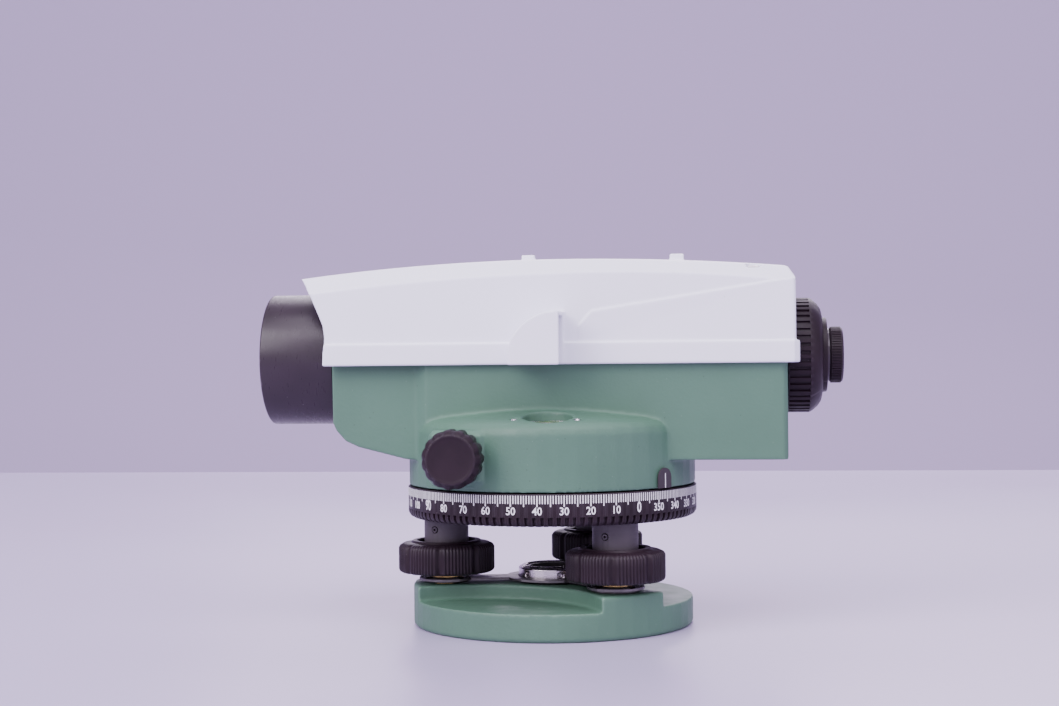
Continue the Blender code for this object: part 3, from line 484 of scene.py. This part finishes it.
def evaluated(obj):
    """An object's mesh with its modifiers applied; the object is removed."""
    bpy.context.view_layer.update()
    graph = bpy.context.evaluated_depsgraph_get()
    mesh = bpy.data.meshes.new_from_object(obj.evaluated_get(graph))
    bpy.data.objects.remove(obj)
    return mesh


def welded_copy(node):
    """A copy of a CAD node's mesh with its split corners joined again."""
    mesh = frame["nodes"][node].data.copy()
    shape = bmesh.new()
    shape.from_mesh(mesh)
    bmesh.ops.remove_doubles(shape, verts=shape.verts, dist=0.002 * MM)
    shape.to_mesh(mesh)
    shape.free()
    for attribute in [a for a in mesh.attributes if a.name == "custom_normal"]:
        mesh.attributes.remove(attribute)
    return mesh


def softened(mesh, voxel, passes):
    """A mesh remade in small voxels and smoothed, which rounds its edges and fills its inner corners."""
    obj = bpy.data.objects.new("softened", mesh)
    bpy.context.scene.collection.objects.link(obj)
    remesh = obj.modifiers.new("Remesh", "REMESH")
    remesh.mode = "VOXEL"
    remesh.voxel_size = voxel * MM
    smooth = obj.modifiers.new("Smooth", "SMOOTH")
    smooth.factor = 0.5
    smooth.iterations = passes
    return evaluated(obj)


def polar(radius, degrees):
    angle = math.radians(degrees)
    return radius * math.cos(angle), radius * math.sin(angle)


# ---------------------------------------------------------------- base and foot screws


def foot_plate():
    mesh = softened(welded_copy("foot_plate"), 0.55, 3)
    add("foot_casting", mesh, "green_paint", "foot_plate", smooth=60)


def ring_nut():
    """The polished ring nut with its six tommy holes."""
    low, high = corners("clamp_ring_nut")
    radius = high.x
    profile = [
        (NUT_BORE_R, low.z),
        (radius - 0.3, low.z),
        (radius, low.z + 0.4),
        (radius, high.z - 1.1),
        (radius - 1.9, high.z - 0.1),
        (NUT_BORE_R + 0.7, high.z - 0.1),
        (NUT_BORE_R, high.z - 0.8),
    ]
    mesh = lathe_mesh("ring_nut", rounded(profile, 0.25), 96)
    holes = []
    for i in range(TOMMY_HOLES):
        hole = lathe_mesh("tommy", [(0, 0), (TOMMY_R, 0), (TOMMY_R, 6), (0, 6)], 24)
        azimuth = 360 // TOMMY_HOLES * i + FIRST_TOMMY_AZIMUTH
        x, y = polar(TOMMY_INNER_R, azimuth)
        holes.append(placed(hole, (x, y, TOMMY_Z), "X", azimuth))
    mesh = softened(combined(mesh, "DIFFERENCE", holes), 0.2, 2)
    add("ring_nut", mesh, "steel", "clamp_ring_nut", smooth=60)


def tripod_bush():
    """The bush of the tripod screw, with the thread cut in its bore."""
    node = "tripod_bush"
    low, high = corners(node)
    crest, root = TRIPOD_CREST_R, TRIPOD_ROOT_R
    thread = []
    for i in range(int((high.z - low.z - 1) / TRIPOD_PITCH)):
        z = low.z + 0.7 + TRIPOD_PITCH * i
        thread += [(crest, z), (crest, z + 0.5), (root, z + 1.1), (root, z + 1.4)]
    profile = [
        *thread,
        (crest + 0.6, high.z),
        (BUSH_NECK_R, high.z),
        (BUSH_NECK_R, BUSH_SHOULDER_Z),
        (high.x, BUSH_SHOULDER_Z),
        (high.x, low.z),
        (crest + 0.7, low.z),
    ]
    mesh = lathe_mesh(node, profile, 96)
    add("threaded_bush", mesh, "dark_steel", node)


def knob_ripple(radius, lobes, flute_depth, ribs, rib_depth, rib_share):
    """The side of a knob with smooth flutes, and fine upright ribs on the lobes between them."""

    def ripple(angle, r, height):
        if r < radius - 2.2:
            return r
        within = (angle * lobes / (2 * math.pi)) % 1.0
        offset = abs(within - 0.5) * 2
        if offset > rib_share:
            share = (offset - rib_share) / (1 - rib_share)
            return r - flute_depth * math.sin(share * math.pi / 2) ** 2
        tooth = ((within - 0.5) / rib_share * ribs + 100.5) % 1.0
        return r - rib_depth * (abs(tooth - 0.5) * 2) ** 1.5

    return ripple


def foot_knob(name):
    """A foot screw's knob: eight ribbed lobes, a smooth shoulder and a lip round its recess."""
    node = f"foot_knob_{name}"
    low, high = corners(node)
    middle = centre(node)
    radius = (high.x - low.x) / 2
    shoulder = high.z - 2.0
    side = [(radius, low.z + 1.2 + (shoulder - low.z - 1.8) * i / 3) for i in range(4)]
    profile = [
        (radius - 1.1, low.z),
        (radius - 0.3, low.z + 0.5),
        *side,
        (radius - 0.5, shoulder + 0.3),
        (radius - 1.9, shoulder + 1.0),
        (KNOB_RECESS_R + 2.6, shoulder + 1.3),
        (KNOB_RECESS_R + 2.0, high.z),
        (KNOB_RECESS_R + 0.5, high.z),
        (KNOB_RECESS_R, high.z - 0.5),
        (KNOB_RECESS_R, high.z - KNOB_RECESS_DEPTH),
        (KNOB_BORE_R, high.z - KNOB_RECESS_DEPTH),
        (KNOB_BORE_R, low.z),
    ]
    ripple = knob_ripple(radius, KNOB_LOBES, 0.8, RIBS_ON_A_LOBE, 0.34, 0.72)
    mesh = lathe_mesh(node, profile, KNOB_LOBES * 72, ripple)
    placed(mesh, (middle.x, middle.y, 0))
    add(f"ribbed_{node}", mesh, "black_plastic", node, smooth=40)


def foot_bush(name):
    """A bush with a chamfered foot, and the socket for its locking pin."""
    node = f"foot_bush_{name}"
    low, high = corners(node)
    middle = centre(node)
    radius = (high.x - low.x) / 2
    pin = centre(f"bush_pin_{name}")
    profile = [
        (0, high.z - 0.7),
        (FOOT_BUSH_BORE_R, high.z - 0.7),
        (FOOT_BUSH_BORE_R, low.z),
        (radius - 0.4, low.z),
        (radius, low.z + 0.5),
        (radius, high.z - 0.2),
        (0, high.z - 0.1),
    ]
    mesh = placed(lathe_mesh(node, profile, 96), (middle.x, middle.y, 0))
    direction = Vector((pin.x - middle.x, pin.y - middle.y, 0)).normalized()
    azimuth = math.degrees(math.atan2(direction.y, direction.x))
    hole = lathe_mesh("pin_hole", [(0, 0), (PIN_HOLE_R, 0), (PIN_HOLE_R, 8), (0, 8)], 32)
    start = (middle.x + 4 * direction.x, middle.y + 4 * direction.y, pin.z)
    mesh = combined(mesh, "DIFFERENCE", [placed(hole, start, "X", azimuth)])
    add(f"turned_{node}", mesh, "black_metal", node, DARK_BUSH)


def screw_shaft(name):
    """A foot screw with the ridges of its thread where the knob's recess shows it."""
    node = f"foot_screw_{name}"
    low, high = corners(node)
    middle = centre(node)
    ball = []
    for degrees in range(0, 138, 9):
        angle = math.radians(degrees)
        ball.append((BALL_R * math.sin(angle), low.z + BALL_R - BALL_R * math.cos(angle)))
    ridges = []
    for i in range(int((high.z - 0.8 - SCREW_THREAD_Z) / SCREW_PITCH)):
        z = SCREW_THREAD_Z + SCREW_PITCH * i
        ridges += [(SCREW_CREST_R, z + 0.2), (SCREW_ROOT_R, z + 0.45), (SCREW_CREST_R, z + 0.7)]
    profile = [
        *ball,
        (SCREW_NECK_R, SCREW_FLANGE_LOW),
        (SCREW_FLANGE_R, SCREW_FLANGE_LOW),
        (SCREW_FLANGE_R, SCREW_FLANGE_TOP),
        (SCREW_CREST_R, SCREW_FLANGE_TOP),
        *ridges,
        (3.4, high.z),
        (0, high.z),
    ]
    mesh = placed(lathe_mesh(node, profile, 64), (middle.x, middle.y, 0))
    add(f"threaded_{node}", mesh, "brass", node)


def foot_seat(name):
    """A seat: a dark ring with the slots its key takes, down to the casting, and the brass ring on it."""
    node = f"foot_seat_{name}"
    low, high = corners(node)
    middle = centre(node)
    radius = (high.x - low.x) / 2
    platform = corners("foot_plate")[1].z
    foot = platform + (ROLLING_SEAT_GAP if body_of(node) == "rocker" else SEAT_GAP)
    top = high.z - SEAT_TOP_DROP
    profile = [
        (SEAT_BORE_R, foot),
        (radius, foot),
        (radius, top - 0.3),
        (radius - 0.3, top),
        (SEAT_BORE_R, top),
    ]
    mesh = lathe_mesh(node, rounded(profile, 0.2), 96)
    slots = []
    for azimuth in KEY_SLOT_AZIMUTHS:
        slot = block("slot", (5.6, -1.2, platform + 1.5), (11, 1.2, 21))
        slots.append(placed(slot, (0, 0, 0), "Z", azimuth))
    mesh = placed(combined(mesh, "DIFFERENCE", slots), (middle.x, middle.y, 0))
    add(f"slotted_{node}", mesh, "dark_steel", node)
    ring = [
        (4.6, top - 1.2),
        (4.9, top - 1.2),
        (4.9, top),
        (BRASS_RING_R, top),
        (BRASS_RING_R, top + 0.3),
        (4.9, top + 0.45),
        (4.6, top + 0.2),
    ]
    mesh = placed(lathe_mesh("ring", ring, 64), (middle.x, middle.y, 0))
    add(f"brass_ring_{name}", mesh, "brass", node, stands_for=False)


# ---------------------------------------------------------------- graduated circle


def circle_ripple(radius, low):
    """Grip notches round the lower edge of the ring."""

    def ripple(angle, r, height):
        if r < radius - 2.4 or height > low + NOTCH_TOP:
            return r
        within = (angle * NOTCHES / (2 * math.pi)) % 1.0
        inside = 1.0 if abs(within - 0.5) < 0.2 else 0.0
        return r - NOTCH_DEPTH * inside

    return ripple


def graduated_circle():
    low, high = corners("horizontal_circle")
    radius = high.x
    profile = [
        (CIRCLE_BORE_R, low.z),
        (radius - 1.8, low.z),
        (radius - 0.7, low.z + 0.6),
        (radius - 0.1, low.z + 1.6),
        (radius, low.z + 2.4),
        (radius, low.z + NOTCH_TOP - 0.1),
        (radius, low.z + NOTCH_TOP + 0.15),
        (radius, high.z - 0.35),
        (radius - 0.35, high.z),
        (CIRCLE_BORE_R + 0.3, high.z),
        (CIRCLE_BORE_R + 0.3, WEB_TOP_Z),
        (WEB_BORE_R, WEB_TOP_Z),
        (WEB_BORE_R, WEB_LOW_Z),
        (CIRCLE_BORE_R, WEB_LOW_Z),
    ]
    mesh = lathe_mesh("circle_ring", profile, NOTCHES * 10, circle_ripple(radius, low.z))
    add("graduated_ring", mesh, "black_plastic", "horizontal_circle")
    tick_marks(radius, high.z)
    numerals(radius, high.z)


def tick_marks(radius, top):
    """The 360 degree marks, longer at every fifth degree, as thin fillings in the ring."""
    shape = bmesh.new()
    for degree in range(360):
        length = LONG_TICK if degree % 5 == 0 else DEGREE_TICK
        width = TICK_WIDTH * (1.15 if degree % 10 == 0 else 1.0)
        azimuth = ZERO_AZIMUTH - degree
        place = Matrix.Rotation(math.radians(azimuth), 4, "Z")
        centre_here = Matrix.Translation(((radius + 0.01) * MM, 0, (top - 0.42 - length / 2) * MM))
        size = Matrix.Diagonal((0.06 * MM, width * MM, length * MM, 1))
        bmesh.ops.create_cube(shape, size=1, matrix=place @ centre_here @ size)
    mesh = bpy.data.meshes.new("tick_marks")
    shape.to_mesh(mesh)
    shape.free()
    add("circle_ticks", mesh, "white_plastic", "horizontal_circle", MARKS, stands_for=False)


def wrapped_text(words, height, squeeze, weight):
    """A number as a flat mesh about its own centre: x across, y up."""
    curve = bpy.data.curves.new("numeral", "FONT")
    curve.body = words
    curve.size = 1.0
    curve.align_x = "CENTER"
    curve.offset = weight
    curve.extrude = 0.01
    curve.resolution_u = 3
    text = bpy.data.objects.new("numeral", curve)
    bpy.context.scene.collection.objects.link(text)
    mesh = evaluated(text)
    highest = max(v.co.y for v in mesh.vertices)
    lowest = min(v.co.y for v in mesh.vertices)
    scale = height / (highest - lowest)
    for vert in mesh.vertices:
        vert.co = Vector((vert.co.x * scale * squeeze, (vert.co.y - lowest) * scale, vert.co.z))
    return mesh


def numerals(radius, top):
    """The numbers, every ten degrees, bent round the ring."""
    shape = bmesh.new()
    foot = top - NUMERAL_BASE_DROP
    for number in range(0, 360, 10):
        tall = number in (0, 90, 180, 270)
        height = NUMERAL_HEIGHT * (TALL_NUMERAL if tall else 1.0)
        mesh = wrapped_text(str(number), height, 0.72 if tall else 0.92, 0.016)
        azimuth = math.radians(ZERO_AZIMUTH - number)
        for vert in mesh.vertices:
            angle = azimuth + vert.co.x / radius
            depth = radius + (0.035 if vert.co.z > 0 else -0.03)
            z = foot + vert.co.y
            vert.co = Vector((depth * math.cos(angle) * MM, depth * math.sin(angle) * MM, z * MM))
        shape.from_mesh(mesh)
        bpy.data.meshes.remove(mesh)
    bmesh.ops.remove_doubles(shape, verts=shape.verts, dist=0.001 * MM)
    mesh = bpy.data.meshes.new("numerals")
    shape.to_mesh(mesh)
    shape.free()
    add("circle_numerals", mesh, "white_plastic", "horizontal_circle", MARKS, stands_for=False)


# ---------------------------------------------------------------- housing and cover


def housing():
    mesh = softened(welded_copy("main_housing"), 0.6, 2)
    add("housing_casting", mesh, "green_paint", "main_housing", smooth=60)


def side_slab(name, outline, low_y, high_y):
    """A prism between two places along Y. Its outline is (x, z, rise), with a rise added on the high side."""
    shape = bmesh.new()
    near, far = [], []
    for x, z, rise in outline:
        near.append(shape.verts.new((x * MM, low_y * MM, z * MM)))
        far.append(shape.verts.new((x * MM, (high_y + math.copysign(rise, high_y)) * MM, z * MM)))
    for i in range(len(outline)):
        j = (i + 1) % len(outline)
        shape.faces.new((near[i], near[j], far[j], far[i]))
    shape.faces.new(near)
    shape.faces.new(list(reversed(far)))
    bmesh.ops.recalc_face_normals(shape, faces=shape.faces)
    mesh = bpy.data.meshes.new(name)
    shape.to_mesh(mesh)
    shape.free()
    return mesh


def cover():
    """The white cover: a panel stands a little proud below its slanting crease."""
    low, high = corners("top_cover")
    rear = high.x - SKIRT_STEP_X
    foot = low.z + SKIRT_HEIGHT
    # The panel's left edge fades out downwards, and its top leans in with the wall.
    crease = [
        (12.6, foot, 0.0),
        (12.6, 108.4, 0.35),
        (17.5, 113.6, 0.28),
        (rear - 3.0, 124.1, 0.07),
        (rear - 0.6, 124.3, 0.07),
        (rear - 0.6, foot, 0.5),
    ]
    panels = [side_slab("panel", crease, side * PANEL_ROOT_Y, side * COVER_HALF_Y) for side in (-1, 1)]
    corner = [
        (rear - 3.4, 130.2, 0),
        (rear + 0.3, 124.2, 0),
        (rear + 4, 124.2, 0),
        (rear + 4, ABOVE_COVER_Z, 0),
        (rear - 3.4, ABOVE_COVER_Z, 0),
    ]
    recesses = []
    for side in ("left", "right"):
        middle = centre(f"cover_screw_{side}")
        recess = [(0, RECESS_Z), (RECESS_R, RECESS_Z), (RECESS_R, ABOVE_COVER_Z), (0, ABOVE_COVER_Z)]
        recesses.append(placed(lathe_mesh("recess", recess, 48), (middle.x, middle.y, 0)))
        # The recess is open to the side, through the chamfer.
        near_y, far_y = sorted((middle.y, math.copysign(RECESS_RUN_Y, middle.y)))
        run_low = (middle.x - RECESS_R + 0.1, near_y, RECESS_Z)
        run_high = (middle.x + RECESS_R - 0.1, far_y, ABOVE_COVER_Z)
        recesses.append(block("recess_run", run_low, run_high))
    mesh = combined(welded_copy("top_cover"), "UNION", panels)
    mesh = combined(mesh, "DIFFERENCE", [side_slab("corner", corner, -40, 40), *recesses])
    mesh = softened(mesh, 0.45, 2)
    add("cover_shell", mesh, "white_plastic", "top_cover", smooth=60)


def crossed_screw(node, head_radius, head_top, head_depth):
    """A small screw with a domed head and a crossed slot."""
    low = corners(node)[0]
    middle = centre(node)
    shaft = head_radius * 0.5
    slot_half, slot_reach = head_radius * 0.11, head_radius * 0.62
    profile = [
        (0, low.z),
        (shaft, low.z),
        (shaft, head_top - head_depth),
        (head_radius, head_top - head_depth),
        (head_radius, head_top - head_depth * 0.45),
        (head_radius * 0.7, head_top - head_depth * 0.08),
        (0, head_top),
    ]
    mesh = lathe_mesh(node, profile, 48)
    bottom = head_top - head_depth * 0.5
    cross = [
        block("slot", (-slot_reach, -slot_half, bottom), (slot_reach, slot_half, head_top + 1)),
        block("slot", (-slot_half, -slot_reach, bottom), (slot_half, slot_reach, head_top + 1)),
    ]
    mesh = placed(combined(mesh, "DIFFERENCE", cross), (middle.x, middle.y, 0))
    add(f"crossed_{node}", mesh, "steel", node)


def small_screws():
    """The cover's two screws in their recesses, and the two that adjust the vial."""
    for side in ("left", "right"):
        crossed_screw(f"cover_screw_{side}", COVER_HEAD_R, COVER_HEAD_TOP, 0.95)
    for number in (1, 2):
        node = f"vial_screw_{number}"
        high = corners(node)[1]
        crossed_screw(node, VIAL_HEAD_R, high.z, 1.3)


# ---------------------------------------------------------------- optics outside


def sight_axis():
    return (0, 0, centre("objective_barrel").z)


def objective():
    low, high = corners("objective_barrel")
    radius = (high.z - low.z) / 2
    front, rear = -low.x, -high.x
    profile = [
        (radius, rear + 5.6),
        (radius, front - 0.5),
        (radius - 0.5, front),
        (22.8, front),
        (22.5, front - 0.6),
        (22.3, 84.6),
        (19.4, 84.0),
        (19.4, rear),
        (21.6, rear),
        (21.6, rear + 5.6),
    ]
    mesh = placed(lathe_mesh("barrel", rounded(profile, 0.35), 160), sight_axis(), "-X")
    node = "objective_barrel"
    add("barrel_tube", mesh, "black_metal", node)

    node = "objective_lens"
    low, high = corners(node)
    rim = (high.z - low.z) / 2
    front, rear = -low.x, -high.x
    bulge = 2.4
    face = [(rim * i / 12, front - bulge * (i / 12) ** 2) for i in range(13)]
    back = [(rim * i / 12, rear + 1.4 * (i / 12) ** 2) for i in range(12, -1, -1)]
    mesh = placed(lathe_mesh("lens", face + back, 128), sight_axis(), "-X")
    add("front_lens", mesh, "glass", node, LENS_GLASS)


def rib_ripple(radius, ribs, depth, share, low, high):
    """Straight ribs between two heights on the side of a round piece."""

    def ripple(angle, r, height):
        if r < radius - 1.0 or not low < height < high:
            return r
        within = (angle * ribs / (2 * math.pi)) % 1.0
        return r - depth if within < share else r

    return ripple


def eyepiece():
    """The ribbed collar and the finely ribbed diopter ring."""
    node = "eyepiece_collar"
    low, high = corners(node)
    radius = (high.z - low.z) / 2
    start, end = low.x, high.x
    profile = [
        (COLLAR_BORE_R, start),
        (radius - 0.3, start),
        (radius, start + 0.3),
        (radius, start + 0.55),
        (radius, start + 0.6),
        (radius, end - 6.6),
        (radius, end - 6.5),
        (radius - 0.2, end - 5.9),
        (radius - 1.0, end - 4.8),
        (radius - 2.3, end - 3.3),
        (radius - 4.0, end - 2.2),
        (radius - 5.6, end - 1.8),
        (radius - 6.4, end - 1.9),
        (13.6, end - 1.6),
        (13.4, end - 0.2),
        (13.1, end),
        (COLLAR_BORE_R, end),
    ]
    ripple = rib_ripple(radius, COLLAR_RIBS, 0.7, 0.36, start + 0.56, end - 6.55)
    mesh = placed(lathe_mesh("collar", profile, COLLAR_RIBS * 14, ripple), sight_axis(), "X")
    add("ribbed_collar", mesh, "black_plastic", node, smooth=30)

    node = "diopter_ring"
    low, high = corners(node)
    radius = (high.z - low.z) / 2
    start, end = low.x, high.x
    profile = [
        (DIOPTER_BORE_R, start),
        (radius - 0.5, start),
        (radius, start + 0.4),
        (radius, start + 0.45),
        (radius, end - 0.9),
        (radius, end - 0.85),
        (radius - 0.6, end - 0.2),
        (radius - 1.3, end),
        (5.6, end),
        (4.6, end - 0.85),
        (DIOPTER_BORE_R, end - 0.85),
    ]
    ripple = rib_ripple(radius, DIOPTER_RIBS, 0.28, 0.4, start + 0.42, end - 0.88)
    mesh = placed(lathe_mesh("diopter", profile, DIOPTER_RIBS * 10, ripple), sight_axis(), "X")
    add("ribbed_diopter", mesh, "black_plastic", node, smooth=30)


# ---------------------------------------------------------------- side knobs and small parts


def scalloped_knob(name, node, along, lobes, depth, dish):
    """A round knob with scallops round it, a domed face and a raised rim."""
    low, high = corners(node)
    middle = centre(node)
    sign = -1 if along == "-Y" else 1
    start = min(abs(low.y), abs(high.y))
    end = max(abs(low.y), abs(high.y))
    radius = (high.z - low.z) / 2

    def ripple(angle, r, height):
        if r < radius - 1.6 or height > end - 0.5:
            return r
        wave = 0.5 - 0.5 * math.cos(angle * lobes)
        fade = 1 - 0.65 * (height - start) / (end - start)
        return r - depth * fade * wave**2.2

    shoulder = end - 2.4
    steps_up = [(radius, start + 0.8 + (shoulder - start - 0.8) * i / 4) for i in range(5)]
    profile = [
        (0, start),
        (radius - 0.8, start),
        *steps_up,
        (radius - 0.5, shoulder + 0.9),
        (radius * 0.87, end - 0.5),
        (radius * 0.83, end - 0.08),
        (radius * 0.78, end),
        (radius * 0.74, end - dish * 0.5),
        (radius * 0.68, end - dish),
        (radius * 0.3, end - dish * 1.05),
        (0, end - dish * 0.95),
    ]
    mesh = lathe_mesh(name, profile, lobes * 14, ripple)
    placed(mesh, (middle.x, 0, middle.z), along)
    add(name, mesh, "black_plastic", node, smooth=40)


def vial():
    """The spirit in the vial, and the ring that its bubble is brought into."""
    middle = centre("vial_glass")
    low, high = corners("vial_glass")
    at = (middle.x, middle.y, 0)
    spirit = [
        (0, low.z + 0.1),
        (VIAL_BORE_R, low.z + 0.1),
        (VIAL_BORE_R, high.z - 1.5),
        (0, high.z - 0.9),
    ]
    mesh = placed(lathe_mesh("spirit", rounded(spirit, 0.3), 64), at)
    add("vial_spirit", mesh, "glass", "vial_glass", LIQUID, stands_for=False)
    inner, outer = VIAL_RING_R, VIAL_RING_R + 0.25
    ring_low, ring_high = high.z - 0.75, high.z - 0.68
    ring = [(inner, ring_low), (outer, ring_low), (outer, ring_high), (inner, ring_high)]
    mesh = placed(lathe_mesh("ring", ring, 64), at)
    add("vial_circle", mesh, "black_plastic", "vial_glass", stands_for=False)


def index_plate():
    """The white line down the middle of the index plate."""
    middle = centre("index_plate")
    low = corners("index_plate")[0]
    azimuth = math.degrees(math.atan2(middle.y, middle.x))
    reach = Vector((middle.x, middle.y)).length
    line = block("line", (reach + 0.36, -0.18, low.z + 0.1), (reach + 0.44, 0.18, low.z + 5.2))
    mesh = placed(line, (0, 0, 0), "Z", azimuth)
    add("index_line", mesh, "white_plastic", "index_plate", MARKS, stands_for=False)


def cad_finishes():
    """Every CAD node takes the finish of its own slot."""
    slots = {row["node"]: row["material_slot"] for row in frame["record"]["subparts"]}
    for name, obj in frame["nodes"].items():
        obj.data.materials.clear()
        obj.data.materials.append(FINISHES[slots[name]])


# ---------------------------------------------------------------- stage


def stage():
    """The table, the wall behind it, soft lights and the camera."""
    for name, size, place, turn, material in (
        ("table", (12.0, 6.8), (0, -2.594, 0), 0, floor_stone().material),
        ("wall", (9.0, 5.0), (0, 2.2, 0.6), 90, wall_paint().material),
    ):
        shape = bmesh.new()
        bmesh.ops.create_grid(shape, x_segments=1, y_segments=1, size=0.5)
        mesh = bpy.data.meshes.new(name)
        shape.to_mesh(mesh)
        shape.free()
        mesh.materials.append(material)
        plane = bpy.data.objects.new(name, mesh)
        plane.scale = (*size, 1)
        plane.rotation_euler = (math.radians(turn), 0, 0)
        plane.location = place
        bpy.context.scene.collection.objects.link(plane)

    lights = (
        ("key", (-1.1, -1.2, 1.1), 1.3, 46.0, (0.97, 0.92, 1.0)),
        ("top", (0.2, -0.75, 1.5), 1.4, 32.0, (0.95, 0.91, 1.0)),
        ("front", (0.1, -1.7, 0.3), 1.4, 5.0, (0.94, 0.9, 1.0)),
        ("fill", (1.3, -0.7, 0.6), 1.4, 7.0, (0.93, 0.88, 1.0)),
        ("back", (0.1, 1.4, 1.2), 1.6, 34.0, (0.97, 0.89, 1.0)),
    )
    aim = Vector((0, 0, 0.08))
    for name, place, size, power, colour in lights:
        light = bpy.data.lights.new(name, "AREA")
        light.size = size
        light.energy = power
        light.color = colour
        holder = bpy.data.objects.new(name, light)
        holder.location = place
        holder.rotation_euler = (aim - Vector(place)).to_track_quat("-Z", "Y").to_euler()
        bpy.context.scene.collection.objects.link(holder)

    world = bpy.data.worlds.new("soft_room")
    world.use_nodes = True
    background = world.node_tree.nodes["Background"]
    background.inputs["Color"].default_value = (0.80, 0.73, 0.96, 1)
    background.inputs["Strength"].default_value = 0.85
    bpy.context.scene.world = world

    camera = bpy.data.cameras.new("camera")
    camera.lens = CAMERA_LENS
    camera.sensor_width = 36.0
    camera.sensor_fit = "HORIZONTAL"
    camera.clip_start = 0.01
    holder = bpy.data.objects.new("camera", camera)
    turn = Matrix.Rotation(math.radians(CAMERA_TURN), 4, "Z")
    level = Matrix.Rotation(math.radians(90 - CAMERA_DIP), 4, "X")
    roll = Matrix.Rotation(math.radians(CAMERA_ROLL), 4, "Z")
    holder.matrix_world = Matrix.Translation(Vector(CAMERA_PLACE) * MM) @ turn @ level @ roll
    bpy.context.scene.collection.objects.link(holder)
    bpy.context.scene.camera = holder


def main():
    stage()
    cad_finishes()
    foot_plate()
    ring_nut()
    tripod_bush()
    for name in "abc":
        foot_knob(name)
        foot_bush(name)
        screw_shaft(name)
        foot_seat(name)
    graduated_circle()
    housing()
    cover()
    small_screws()
    objective()
    eyepiece()
    scalloped_knob("scalloped_knob_left", "tangent_knob_left", "-Y", 15, 0.75, 0.22)
    scalloped_knob("scalloped_knob_right", "tangent_knob_right", "Y", 15, 0.75, 0.22)
    scalloped_knob("scalloped_focus_knob", "focus_knob", "Y", 18, 0.7, 0.4)
    vial()
    index_plate()


main()
